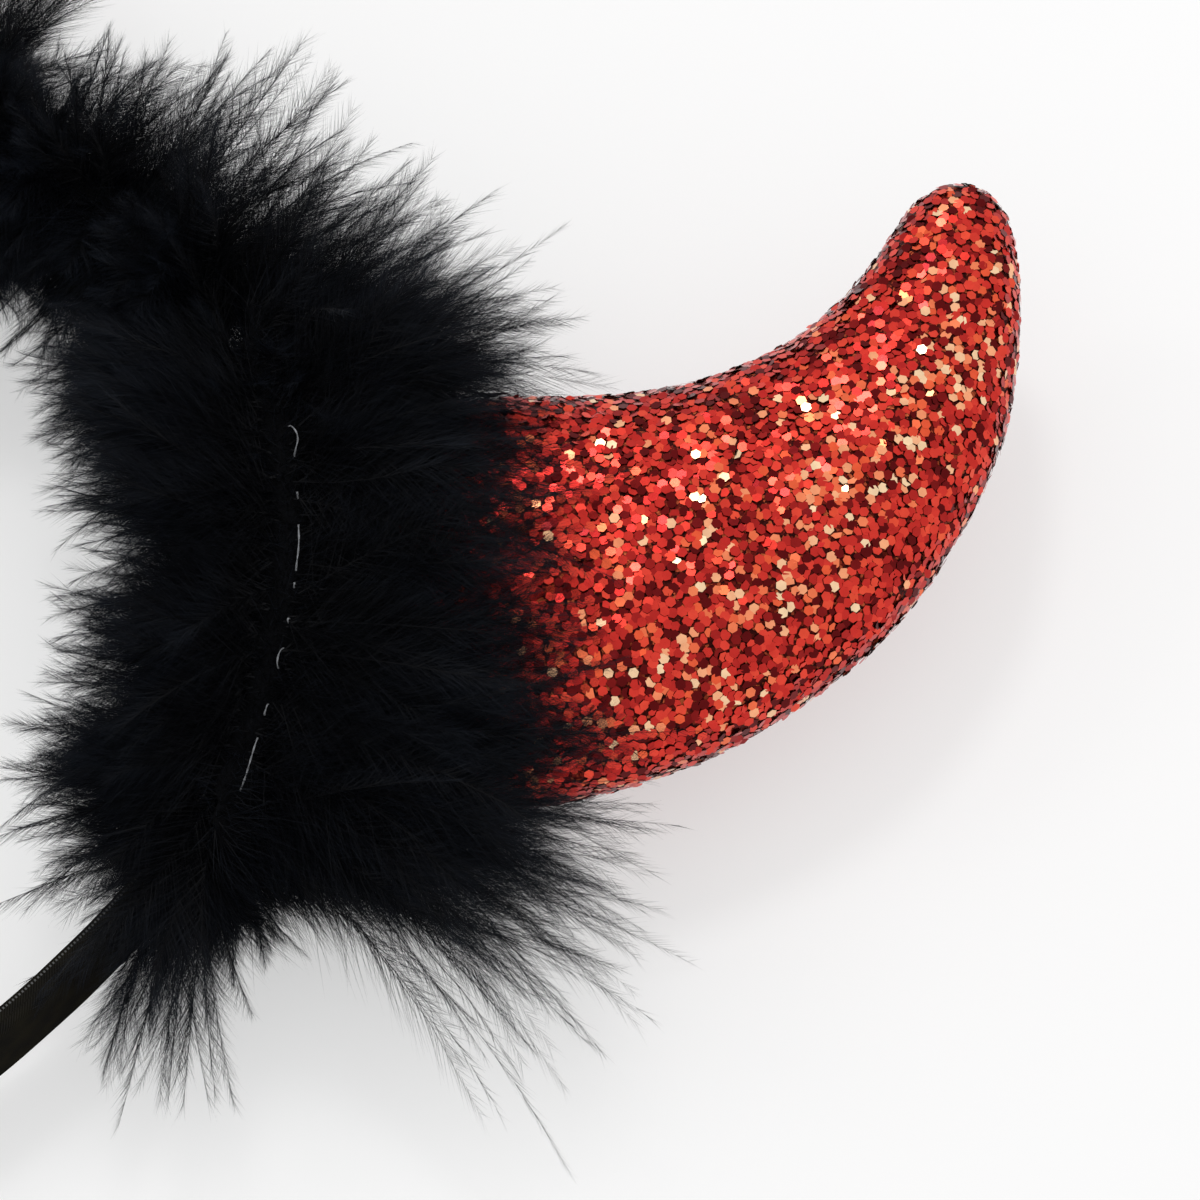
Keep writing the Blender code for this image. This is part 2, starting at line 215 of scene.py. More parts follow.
class ShaderMaker:
    """Adds nodes to one material and links them, a line for each node."""

    def __init__(self, name):
        self.material = bpy.data.materials.new(name)
        self.material.use_nodes = True
        self.tree = self.material.node_tree
        self.shader = self.tree.nodes["Principled BSDF"]

    def add(self, kind, settings=None, **inputs):
        node = self.tree.nodes.new(kind)
        for key, value in (settings or {}).items():
            setattr(node, key, value)
        for key, value in inputs.items():
            self.feed(node, key.replace("_", " "), value)
        return node

    def feed(self, node, key, value):
        """Links or sets a node's input, which is given by name or as n and its number."""
        by_number = key[0] == "n" and key[1:].isdigit()
        socket = node.inputs[int(key[1:]) if by_number else key]
        if isinstance(value, bpy.types.NodeSocket):
            self.tree.links.new(value, socket)
        else:
            socket.default_value = value

    def set(self, **inputs):
        for key, value in inputs.items():
            self.feed(self.shader, key.replace("_", " "), value)

    def math(self, operation, first, second=0.0):
        node = self.add("ShaderNodeMath", {"operation": operation}, n0=first, n1=second)
        return node.outputs[0]

    def ramp(self, factor, stops):
        node = self.add("ShaderNodeValToRGB", None, Fac=factor)
        elements = node.color_ramp.elements
        while len(elements) < len(stops):
            elements.new(0.5)
        for element, (place, colour) in zip(elements, stops):
            element.position = place
            element.color = (*colour, 1.0)
        return node.outputs["Color"]

    def mix(self, factor, first, second, blend="MIX"):
        settings = {"data_type": "RGBA", "blend_type": blend}
        node = self.add("ShaderNodeMix", settings, Factor=factor, n6=first, n7=second)
        return node.outputs[2]

    def bump(self, height, strength, distance):
        node = self.add("ShaderNodeBump", None, Height=height, Strength=strength, Distance=distance)
        return node.outputs["Normal"]


# Ribbon's pattern in millimetres: from rib to rib, from dot to dot, and half the selvedge's width
RIB_STEP = 0.42
DOT_STEP = 0.5
SELVEDGE_HALF_WIDTH = 0.14


def satin_material():
    """Ribbed black satin ribbon: fine slanting ribs, a pale dotted selvedge and a soft sheen, painted as a
    lighter colour on the ribs.
    """
    maker = ShaderMaker("black_satin_ribbon")
    colour = tuple(colours().satin)
    place = maker.add("ShaderNodeUVMap", {"uv_map": "ribbon"}).outputs["UV"]
    split = maker.add("ShaderNodeSeparateXYZ", None, Vector=place)
    along = split.outputs["X"]
    across = split.outputs["Y"]
    slant = maker.math("ADD", along, maker.math("MULTIPLY", across, 0.95))
    ribs = maker.math("SINE", maker.math("MULTIPLY", slant, math.tau / RIB_STEP))
    noise = maker.add("ShaderNodeTexNoise", None, Vector=place, Scale=0.35, Detail=4.0)
    fibre = maker.add("ShaderNodeTexNoise", None, Vector=place, Scale=6.0, Detail=2.0)
    rib_share = maker.math("ADD", maker.math("MULTIPLY", ribs, 0.5), 0.5)
    # Painted highlight: the ribs get this lighter colour in place of the satin's sheen catching the light
    light = tuple(channel * 4.5 for channel in colour)
    warm = (colour[0] * 2.0, colour[1] * 1.9, colour[2] * 1.3)
    ground = maker.ramp(noise.outputs["Fac"], ((0.35, colour), (0.65, warm)))
    painted_rib_highlight = maker.math("MULTIPLY", rib_share, fibre.outputs["Fac"])
    ribbed = maker.mix(painted_rib_highlight, ground, (*light, 1.0))
    near_edge = maker.math("LESS_THAN", maker.math("ABSOLUTE", across), SELVEDGE_HALF_WIDTH)
    dot_wave = maker.math("SINE", maker.math("MULTIPLY", along, math.tau / DOT_STEP))
    dots = maker.math("GREATER_THAN", dot_wave, 0.1)
    dotted = maker.math("MULTIPLY", maker.math("MULTIPLY", near_edge, dots), 0.55)
    selvedge = maker.mix(dotted, ribbed, (0.16, 0.16, 0.16, 1.0))
    height = maker.math("ADD", maker.math("MULTIPLY", rib_share, 0.7), fibre.outputs["Fac"])
    maker.set(
        Base_Color=selvedge,
        Roughness=0.38,
        Anisotropic=0.45,
        Specular_IOR_Level=0.0,
        Normal=maker.bump(height, 0.55, 0.00008),
    )
    return maker.material


def cloth_material():
    """Dark red film cloth under the flakes, with fine glitter dust between them."""
    maker = ShaderMaker("red_film_cloth")
    place = maker.add("ShaderNodeTexCoord").outputs["Object"]
    dust = maker.add("ShaderNodeTexVoronoi", None, Vector=place, Scale=2600.0)
    hue = maker.add("ShaderNodeSeparateColor", None, Color=dust.outputs["Color"])
    colour = maker.ramp(
        hue.outputs[0],
        (
            (0.0, (0.012, 0.001, 0.001)),
            (0.45, (0.045, 0.003, 0.002)),
            (0.80, (0.140, 0.008, 0.005)),
            (0.97, (0.450, 0.090, 0.030)),
        ),
    )
    maker.set(
        Base_Color=colour,
        Metallic=0.6,
        Roughness=0.45,
        Specular_IOR_Level=0.1,
        Normal=maker.bump(dust.outputs["Distance"], 0.5, 0.00015),
    )
    return maker.material


def flake_material():
    """Metallic film hexagons: each has its own colour, from maroon through red to pale gold; the maroon
    ones are painted dark reflections and the orange to pale gold ones painted glints.
    """
    maker = ShaderMaker("red_glitter_flakes")
    red = tuple(colours().glitter)
    tone_and_painted_light = maker.add("ShaderNodeAttribute", {"attribute_name": "tone_and_painted_light"}).outputs["Fac"]
    place = maker.add("ShaderNodeTexCoord").outputs["Object"]
    grain = maker.add("ShaderNodeTexNoise", None, Vector=place, Scale=900.0, Detail=3.0)
    # Painted dark reflection: the deep and dull maroons stand in for flakes that mirror the dark room
    deep = (red[0] * 0.14, red[1] * 0.12, red[2] * 0.2)
    dull = (red[0] * 0.52, red[1] * 0.42, red[2] * 0.55)
    colour = maker.ramp(
        tone_and_painted_light,
        (
            (0.00, deep),
            (0.10, deep),
            (0.20, dull),
            (0.42, (red[0] * 0.80, red[1] * 0.72, red[2] * 0.8)),
            (0.62, (red[0], red[1] * 1.3, red[2] * 1.2)),
            # Painted glints: the orange, peach and pale gold stops from here on
            (0.76, (0.86, 0.115, 0.045)),
            (0.84, (0.96, 0.24, 0.105)),
            (0.91, (1.00, 0.46, 0.24)),
            (1.00, (1.00, 0.74, 0.46)),
        ),
    )
    wear = maker.ramp(grain.outputs["Fac"], ((0.3, (0.62, 0.55, 0.55)), (0.7, (1.0, 1.0, 1.0))))
    worn = maker.mix(0.35, colour, wear, "MULTIPLY")
    maker.set(
        Base_Color=worn,
        Metallic=1.0,
        Roughness=0.22,
        Coat_Weight=0.03,
        Coat_Roughness=0.06,
        Normal=maker.bump(grain.outputs["Fac"], 0.15, 0.00005),
    )
    return maker.material


def marabou_material():
    """Dyed marabou barbs: blue black at the root, with a painted sheen that makes them a touch paler and
    greyer towards the tips.
    """
    maker = ShaderMaker("black_marabou_barbs")
    base = tuple(colours().marabou)
    along = maker.add("ShaderNodeAttribute", {"attribute_name": "along"}).outputs["Fac"]
    place = maker.add("ShaderNodeTexCoord").outputs["Object"]
    patch = maker.add("ShaderNodeTexNoise", None, Vector=place, Scale=160.0, Detail=3.0)
    share = maker.math("MULTIPLY", along, maker.math("ADD", patch.outputs["Fac"], 0.35))
    # Painted sheen: the paler, greyer tip colour stands in for light caught by the barbs
    tip = (base[0] * 9.0, base[1] * 10.5, base[2] * 10.5)
    colour = maker.ramp(share, ((0.0, base), (0.25, base), (1.0, tip)))
    maker.set(
        Base_Color=colour,
        Roughness=0.5,
        Specular_IOR_Level=0.09,
    )
    return maker.material


def down_material():
    """The dense down under the plumes, almost black, with fine strands running through it."""
    maker = ShaderMaker("black_down")
    base = tuple(colours().marabou)
    place = maker.add("ShaderNodeTexCoord").outputs["Object"]
    strands = maker.add("ShaderNodeTexNoise", None, Vector=place, Scale=900.0, Detail=5.0, Distortion=2.0)
    colour = maker.ramp(
        strands.outputs["Fac"],
        ((0.35, tuple(c * 0.4 for c in base)), (0.75, tuple(c * 1.4 for c in base))),
    )
    maker.set(
        Base_Color=colour,
        Roughness=0.9,
        Specular_IOR_Level=0.08,
        Normal=maker.bump(strands.outputs["Fac"], 0.9, 0.0006),
    )
    return maker.material


def thread_material():
    maker = ShaderMaker("grey_thread")
    colour = tuple(colours().thread)
    place = maker.add("ShaderNodeTexCoord").outputs["Object"]
    fibre = maker.add("ShaderNodeTexNoise", None, Vector=place, Scale=1800.0, Detail=3.0)
    dark = tuple(channel * 0.45 for channel in colour)
    maker.set(
        Base_Color=maker.ramp(fibre.outputs["Fac"], ((0.35, dark), (0.6, colour))),
        Roughness=0.6,
        Sheen_Weight=0.2,
    )
    return maker.material


def floor_material():
    maker = ShaderMaker("white_floor")
    place = maker.add("ShaderNodeTexCoord").outputs["Object"]
    cloud = maker.add("ShaderNodeTexNoise", None, Vector=place, Scale=3.0, Detail=2.0)
    colour = tuple(colours().floor)
    shade = tuple(channel * 0.995 for channel in colour)
    maker.set(
        Base_Color=maker.ramp(cloud.outputs["Fac"], ((0.3, shade), (0.7, colour))),
        Roughness=0.85,
        Specular_IOR_Level=0.05,
        Emission_Color=(1.0, 1.0, 1.0, 1.0),
        Emission_Strength=0.48,
    )
    return maker.material


# Steps along each leg and along each half of the crown
LEG_SECTIONS = 46
ARC_SECTIONS = 60


def band_line():
    """Middle line of the whole strip from the right leg's end over the crown to the left one."""
    radius = BAND_OUTER - sizes().band_thickness / 2
    leg_radius = sizes().leg_radius
    leg_turn = math.asin(sizes().leg_drop / leg_radius)
    leg_turns = np.linspace(leg_turn, 0, LEG_SECTIONS, endpoint=False)
    centre = radius - leg_radius
    leg = np.stack((centre + leg_radius * np.cos(leg_turns), -leg_radius * np.sin(leg_turns)), axis=1)
    arc_turns = np.linspace(0, math.pi / 2, ARC_SECTIONS)
    arc = radius * np.stack((np.cos(arc_turns), np.sin(arc_turns)), axis=1)
    right = np.concatenate((leg, arc))
    left = right[-2::-1] * (-1, 1)
    return np.concatenate((right, left))


# Ribbon's section round the strip: share of the half width, share of the half thickness, and its
# lift. It starts at the selvedge on the upper edge, and runs down the outer face and back.
RIBBON_SECTION = (
    {"up": 1.00, "out": 0.20, "lift": 0.10},
    {"up": 1.00, "out": 0.55, "lift": 0.10},
    {"up": 0.97, "out": 0.84, "lift": 0.08},
    {"up": 0.90, "out": 0.99, "lift": 0.04},
    {"up": 0.70, "out": 1.00, "lift": 0.02},
    {"up": 0.25, "out": 1.00, "lift": 0.04},
    {"up": -0.25, "out": 1.00, "lift": 0.04},
    {"up": -0.70, "out": 1.00, "lift": 0.02},
    {"up": -0.92, "out": 0.97, "lift": 0.03},
    {"up": -0.99, "out": 0.70, "lift": 0.02},
    {"up": -1.00, "out": 0.00, "lift": 0.02},
    {"up": -0.99, "out": -0.70, "lift": 0.02},
    {"up": -0.92, "out": -0.97, "lift": 0.02},
    {"up": -0.50, "out": -1.00, "lift": 0.02},
    {"up": 0.00, "out": -1.00, "lift": 0.03},
    {"up": 0.50, "out": -1.00, "lift": 0.02},
    {"up": 0.92, "out": -0.97, "lift": 0.02},
    {"up": 0.985, "out": -0.70, "lift": 0.00},
    {"up": 0.985, "out": -0.20, "lift": 0.00},
    {"up": 0.985, "out": 0.12, "lift": 0.00},
)

# Millimetres from the ribbon's overlapping edge back to its line of pale selvedge threads
SELVEDGE_FROM_STEP = 1.1


class HEADBAND_OT_satin_band(bpy.types.Operator):
    """Wraps the strip in ribbed satin ribbon, whose selvedge lies along the upper edge"""

    bl_idname = "headband.satin_band"
    bl_label = "Satin Band"

    def execute(self, context):
        line = band_line()
        tangents = np.gradient(line, axis=0)
        lengths = np.linalg.norm(np.diff(line, axis=0), axis=1)
        along = np.concatenate(((0.0,), np.cumsum(lengths)))
        total = along[-1]
        outward = np.stack((tangents[:, 1], -tangents[:, 0]), axis=1)
        outward /= np.linalg.norm(outward, axis=1)[:, None]
        half_width = sizes().band_width / 2
        half_thickness = sizes().band_thickness / 2
        from_end = np.minimum(along, total - along)
        round_share = np.clip(from_end / half_width, 0.02, 1.0)
        end_share = np.sqrt(np.clip(1 - (1 - round_share) ** 2, 0.0, 1.0))
        section = np.array([[row["up"], row["out"], row["lift"] * MM] for row in RIBBON_SECTION])
        ripple = 0.05 * MM * np.sin(along * 430 + 2 * np.sin(along * 90))
        points = []
        for up, out, lift in section:
            reach = out * half_thickness * (0.55 + 0.45 * end_share)
            reach += np.sign(out) * (lift + 0.3 * ripple)
            height = up * half_width * end_share + np.sign(up) * (lift + 0.4 * ripple)
            points.append(np.concatenate((line + outward * reach[:, None], height[:, None]), axis=1))
        grid = np.stack(points, axis=1)
        count, sides = grid.shape[:2]
        numbers = np.arange(count * sides).reshape(count, sides)
        after = np.roll(numbers, -1, axis=1)
        quads = np.stack((numbers[:-1], numbers[1:], after[1:], after[:-1]), axis=-1).reshape(-1, 4)
        thing = mesh_from_arrays("satin_ribbon_band", from_plane(grid.reshape(-1, 3)), quads=quads)
        self.close_ends(thing, numbers)
        self.lay_ribbon_map(thing, along, section, half_width, half_thickness)
        select_only(thing)
        bpy.ops.object.mode_set(mode="EDIT")
        bpy.ops.mesh.select_all(action="SELECT")
        bpy.ops.mesh.normals_make_consistent(inside=False)
        bpy.ops.object.mode_set(mode="OBJECT")
        thing.data.shade_smooth()
        finish_piece(thing, satin_material(), "black_satin", "satin_band")
        return {"FINISHED"}

    def close_ends(self, thing, numbers):
        """Fills the two ends of the wrapped strip."""
        select_only(thing)
        for ring in (numbers[0], numbers[-1]):
            bpy.ops.object.mode_set(mode="EDIT")
            bpy.ops.mesh.select_all(action="DESELECT")
            bpy.ops.object.mode_set(mode="OBJECT")
            for number in ring:
                thing.data.vertices[int(number)].select = True
            bpy.ops.object.mode_set(mode="EDIT")
            bpy.ops.mesh.select_mode(type="VERT")
            bpy.ops.mesh.edge_face_add()
            bpy.ops.object.mode_set(mode="OBJECT")

    def lay_ribbon_map(self, thing, along, section, half_width, half_thickness):
        """Stores millimetres along the strip and round it, counted from the dotted selvedge."""
        steps = np.diff(section[:, :2], axis=0) * (half_width, half_thickness)
        across = np.concatenate(((0.0,), np.cumsum(np.linalg.norm(steps, axis=1)))) / MM
        across -= across[-1] - SELVEDGE_FROM_STEP
        mesh = thing.data
        layer = mesh.uv_layers.new(name="ribbon")
        sides = len(section)
        numbers = np.empty(len(mesh.loops), np.int32)
        mesh.loops.foreach_get("vertex_index", numbers)
        places = np.stack((along[numbers // sides] / MM, across[numbers % sides]), axis=1)
        layer.data.foreach_set("uv", places.astype(np.float32).ravel())


def copied_node(node, name):
    """A merged copy of a CAD node's mesh, as an object of its own."""
    thing = bpy.data.objects.new(name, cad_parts[node].data.copy())
    bpy.context.scene.collection.objects.link(thing)
    thing.data.materials.clear()
    select_only(thing)
    bpy.ops.object.mode_set(mode="EDIT")
    bpy.ops.mesh.select_all(action="SELECT")
    bpy.ops.mesh.remove_doubles(threshold=0.01 * MM)
    bpy.ops.mesh.tris_convert_to_quads()
    bpy.ops.object.mode_set(mode="OBJECT")
    if thing.data.has_custom_normals:
        bpy.ops.mesh.customdata_custom_splitnormals_clear()
    return thing


def vertex_rows(thing, key):
    flat = np.empty(len(thing.data.vertices) * 3, np.float32)
    thing.data.vertices.foreach_get(key, flat)
    return flat.reshape(-1, 3).astype(float)


def mesh_points(thing):
    return vertex_rows(thing, "co")


def set_mesh_points(thing, points):
    thing.data.vertices.foreach_set("co", np.ascontiguousarray(points, np.float32).ravel())
    thing.data.update()


def vertex_normals(thing):
    return vertex_rows(thing, "normal")


def surface_samples(thing, count, chance):
    """Evenly spread random points on a mesh, with the surface's normals there."""
    mesh = thing.data
    mesh.calc_loop_triangles()
    corners = np.empty(len(mesh.loop_triangles) * 3, np.int32)
    mesh.loop_triangles.foreach_get("vertices", corners)
    corners = corners.reshape(-1, 3)
    points = mesh_points(thing)[corners]
    normals = vertex_normals(thing)[corners]
    areas = np.linalg.norm(np.cross(points[:, 1] - points[:, 0], points[:, 2] - points[:, 0]), axis=1)
    chosen = chance.choice(len(areas), size=count, p=areas / areas.sum())
    first = np.sqrt(chance.random(count))
    second = chance.random(count)
    weights = np.stack((1 - first, first * (1 - second), first * second), axis=1)
    places = (points[chosen] * weights[:, :, None]).sum(axis=1)
    facing = (normals[chosen] * weights[:, :, None]).sum(axis=1)
    facing /= np.linalg.norm(facing, axis=1)[:, None]
    return places, facing


def spaced_apart(places, spacing):
    """Numbers of the points that stay when any two must be this far apart."""
    cells = np.floor(places / spacing).astype(int)
    taken = {}
    kept = []
    around = [(i, j, k) for i in (-1, 0, 1) for j in (-1, 0, 1) for k in (-1, 0, 1)]
    limit = spacing * spacing
    rows = places.tolist()
    for number, (cell, place) in enumerate(zip(map(tuple, cells.tolist()), rows)):
        clear = True
        for step in around:
            for other in taken.get((cell[0] + step[0], cell[1] + step[1], cell[2] + step[2]), ()):
                near = rows[other]
                gap = (place[0] - near[0]) ** 2 + (place[1] - near[1]) ** 2 + (place[2] - near[2]) ** 2
                if gap < limit:
                    clear = False
                    break
            if not clear:
                break
        if clear:
            taken.setdefault(cell, []).append(number)
            kept.append(number)
    return np.array(kept)


# Direction in the band's plane in which the horn's tip stretches, and how far it does
TIP_STRETCH_WAY = np.array((-0.643, 0.766, 0.0))
TIP_STRETCH = 1.0 * MM


def stretch_tip(thing):
    """Draws the last centimetre of the horn's cover out to its seamed point."""
    flat = to_plane(mesh_points(thing))
    height = flat @ TIP_STRETCH_WAY
    share = np.clip((height - height.max() + 14 * MM) / (14 * MM), 0, 1) ** 1.5
    set_mesh_points(thing, from_plane(flat + share[:, None] * TIP_STRETCH_WAY * TIP_STRETCH))


# Height of the seam's gathers, how far they draw in, and the soft unevenness of the panels
GATHER_HEIGHT = 0.16 * MM
SEAM_DRAW = 0.38 * MM
PANEL_SWELL = 0.22 * MM


def seam_puckers(thing):
    """Draws the cover in along its seam in short gathers, with a soft unevenness over the panels."""
    points = mesh_points(thing)
    flat = to_plane(points)
    normals = vertex_normals(thing)
    sideways = 1 - np.abs(normals @ PLANE_AXES[2])
    near_seam = np.clip((sideways - 0.45) / 0.5, 0, 1) ** 2
    run = flat[:, 0] * 760 + flat[:, 1] * 690
    gathers = np.sin(run + 1.7 * np.sin(flat[:, 1] * 240) + 2.1 * np.sin(flat[:, 0] * 170))
    soft = np.sin(flat[:, 0] * 210 + 1.0) * np.sin(flat[:, 1] * 190 + 2.0)
    move = near_seam * (GATHER_HEIGHT * gathers - SEAM_DRAW) + PANEL_SWELL * soft * (1 - near_seam)
    set_mesh_points(thing, points + normals * move[:, None])


class HEADBAND_OT_horn_covers(bpy.types.Operator):
    """Makes the padded cloth covers of the horns, gathered a little along their seams"""

    bl_idname = "headband.horn_covers"
    bl_label = "Horn Covers"

    def execute(self, context):
        right = copied_node("horn_right", "horn_cover_right")
        trial = bpy.data.objects.new("trial", right.data.copy())
        context.scene.collection.objects.link(trial)
        apply_modifier(trial, "SUBSURF", levels=1, render_levels=1)
        corners = mesh_points(right)
        set_mesh_points(right, 2 * corners - mesh_points(trial)[: len(corners)])
        bpy.data.objects.remove(trial)
        apply_modifier(right, "SUBSURF", levels=1, render_levels=1)
        stretch_tip(right)
        seam_puckers(right)
        right.data.shade_smooth()
        left = mirrored_copy(right, "horn_cover_left")
        material = cloth_material()
        for thing, node in ((right, "horn_right"), (left, "horn_left")):
            finish_piece(thing, material, "red_glitter", node)
        return {"FINISHED"}


# Where the pale flakes crowd as a painted highlight: a stripe over the horn, in millimetres across the
# band's plane
PAINTED_GLINT_MIDDLE = 92.5
PAINTED_GLINT_WIDTH = 8.5

# Random draws above this make a flake maroon, a painted dark reflection of the room
PAINTED_DARK_FLAKE_FROM = 0.77


def flake_tones_and_painted_glints(places, facing, chance):
    """Colour value of each flake: mostly red, some maroon as painted dark reflections, with pale ones as
    painted glints crowded in a slanting stripe and on flakes facing out of the band's plane.
    """
    flat = to_plane(places) / MM
    # Painted highlight: pale flakes are likelier inside the stripe and on flakes facing out of the band's
    # plane, as if they caught the light
    offset = (flat[:, 0] - PAINTED_GLINT_MIDDLE) / PAINTED_GLINT_WIDTH
    painted_glint_stripe = 1.5 * np.exp(-(offset**2)) - 0.45
    painted_glint_stripe += 0.55 * np.sin(flat[:, 0] * 0.41 + 1.3 * np.sin(flat[:, 1] * 0.31))
    raised = np.abs(facing @ PLANE_AXES[2]) ** 1.5
    painted_glint_chance = np.clip(0.11 + 0.26 * painted_glint_stripe * raised, 0.02, 0.55)
    draw = chance.random(len(places))
    tone_and_painted_light = 0.22 + 0.46 * chance.random(len(places))
    tone_and_painted_light = np.where(draw < painted_glint_chance, 0.74 + 0.26 * chance.random(len(places)) ** 1.1, tone_and_painted_light)
    # Maroon flakes are painted dark reflections
    tone_and_painted_light = np.where(draw > PAINTED_DARK_FLAKE_FROM, 0.20 * chance.random(len(places)), tone_and_painted_light)
    return tone_and_painted_light


# Random places tried on a horn before those too close together are left out, how far a flake
# tilts, and how high it stands off the cover
FLAKE_TRIES = 90000
FLAKE_TILT = 0.14
FLAKE_LIFT = (0.03, 0.30)


class HEADBAND_OT_glitter_flakes(bpy.types.Operator):
    """Scatters overlapping hexagonal film flakes over both horns, each tilted a little its own way"""

    bl_idname = "headband.glitter_flakes"
    bl_label = "Glitter Flakes"

    def execute(self, context):
        chance = np.random.default_rng(11)
        cover = bpy.data.objects["horn_cover_right"]
        places, facing = surface_samples(cover, FLAKE_TRIES, chance)
        kept = spaced_apart(places, sizes().flake_spacing)
        places = places[kept]
        facing = facing[kept]
        count = len(places)
        facing = unit(facing + chance.normal(0, FLAKE_TILT, (count, 3)))
        first = unit(np.cross(facing, chance.normal(0, 1, (count, 3))))
        second = np.cross(facing, first)
        radius = sizes().flake_size / math.sqrt(3) * chance.uniform(0.92, 1.06, count)
        lift = chance.uniform(*FLAKE_LIFT, count) * MM
        middle = places + facing * lift[:, None]
        turn = math.tau * np.arange(6) / 6
        steps = first[:, None] * np.cos(turn)[:, None] + second[:, None] * np.sin(turn)[:, None]
        points = (middle[:, None] + steps * radius[:, None, None]).reshape(-1, 3)
        hexagons = np.arange(count * 6).reshape(count, 6)
        flakes = mesh_from_arrays("glitter_flakes_right", points, hexagons=hexagons)
        set_point_values(flakes, "tone_and_painted_light", np.repeat(flake_tones_and_painted_glints(places, facing, chance), 6))
        material = flake_material()
        other = mirrored_copy(flakes, "glitter_flakes_left")
        for thing in (flakes, other):
            finish_piece(thing, material, "red_glitter")
        return {"FINISHED"}


class HornHeights:
    """Heights of the right horn's upper and lower sides over a fine grid in the band's plane."""

    cell = 0.7 * MM
    samples = 160000

    def __init__(self, chance):
        places, _ = surface_samples(bpy.data.objects["horn_cover_right"], self.samples, chance)
        flat = to_plane(places)
        self.low = flat[:, :2].min(axis=0) - 2 * self.cell
        self.shape = ((flat[:, :2].max(axis=0) - self.low) / self.cell).astype(int) + 3
        self.top = np.full(self.shape, -1.0)
        self.bottom = np.full(self.shape, 1.0)
        cells = self.cells(flat)
        np.maximum.at(self.top, cells, flat[:, 2])
        np.minimum.at(self.bottom, cells, flat[:, 2])

    def cells(self, flat):
        numbers = ((flat[:, :2] - self.low) / self.cell).astype(int)
        return tuple(np.clip(numbers, 0, self.shape - 1).T)

    def keep_out(self, flat, spare):
        """Lifts points that lie in the horn onto its upper side, or drops them under it."""
        cells = self.cells(flat)
        top = self.top[cells]
        bottom = self.bottom[cells]
        middle = (top + bottom) / 2
        inside = (flat[:, 2] < top + spare) & (flat[:, 2] > bottom - spare) & (top > -0.5)
        above = flat[:, 2] > middle - 1.5 * MM
        height = np.where(above, top + spare, bottom - spare)
        flat[:, 2] = np.where(inside, height, flat[:, 2])
        return flat


def signed_power(value, power):
    return np.sign(value) * np.abs(value) ** power


def horn_axes():
    """Outward direction of the right horn's seat and the direction along the band to the crown."""
    turn = sizes().horn_angle
    outward = np.array((math.cos(turn), math.sin(turn), 0.0))
    along = np.array((-math.sin(turn), math.cos(turn), 0.0))
    return outward, along


def collar_sides(around):
    """Points round the horn's base, as across and up, and the directions away from it."""
    across = signed_power(np.cos(around), 0.90) * sizes().horn_width / 2
    up = signed_power(np.sin(around), 0.86) * sizes().horn_thickness / 2
    away = np.stack(
        (np.cos(around), np.sin(around) * sizes().horn_width / sizes().horn_thickness), axis=-1
    )
    return across, up, unit(away)


def seat_points(across, up, rise):
    outward, along = horn_axes()
    distance = np.sqrt(np.maximum((BAND_OUTER + rise) ** 2 - across**2, 0))
    points = outward * distance[:, None] + along * across[:, None]
    points[:, 2] += up
    return points


# Steps along a shaft and a barb, pieces that hold a collar's plumes, and plumes in each lock
SHAFT_STEPS = 4
BARB_STEPS = 1
PLUME_PIECES = 2
PLUMES_IN_LOCK = 9

# Reach of the collar's plumes round the horn, from the crown side (0) over the top (90)
PLUME_REACH = (
    {"around": 0, "outward": 35, "inward": 21},
    {"around": 50, "outward": 33, "inward": 24},
    {"around": 90, "outward": 35, "inward": 24},
    {"around": 130, "outward": 38, "inward": 23},
    {"around": 165, "outward": 39, "inward": 18},
    {"around": 195, "outward": 38, "inward": 14},
    {"around": 230, "outward": 33, "inward": 18},
    {"around": 270, "outward": 32, "inward": 19},
    {"around": 360, "outward": 35, "inward": 21},
)

# Locks at the leg side: share of them, place round the horn, fan with its spread, length, and how
# far they bend towards the leg's end
LEG_LOCKS = (
    {"share": 0.20, "around": 164, "fan": 90, "spread": 4, "length": 43, "bend": 0.45},
    {"share": 0.34, "around": 152, "fan": 90, "spread": 5, "length": 48, "bend": 0.25},
    {"share": 0.13, "around": 164, "fan": -20, "spread": 6, "length": 31, "bend": 0.0},
    {"share": 0.13, "around": 190, "fan": 6, "spread": 34, "length": 13, "bend": 0.0},
    {"share": 0.05, "around": 186, "fan": 0, "spread": 9, "length": 33, "bend": 0.0},
    {"share": 0.15, "around": 140, "fan": -92, "spread": 10, "length": 24, "bend": 0.0},
)
LEG_LOCK_SHARE = 0.27

# Degrees that a lock fans from its place round the horn: least at the sides, on top and at the leg
# side, and most
FAN_AT_SIDES = 22
FAN_ON_TOP = 48
FAN_AT_LEG = 72
WIDEST_FAN = 104


def column(table, key):
    return np.array([row[key] for row in table])


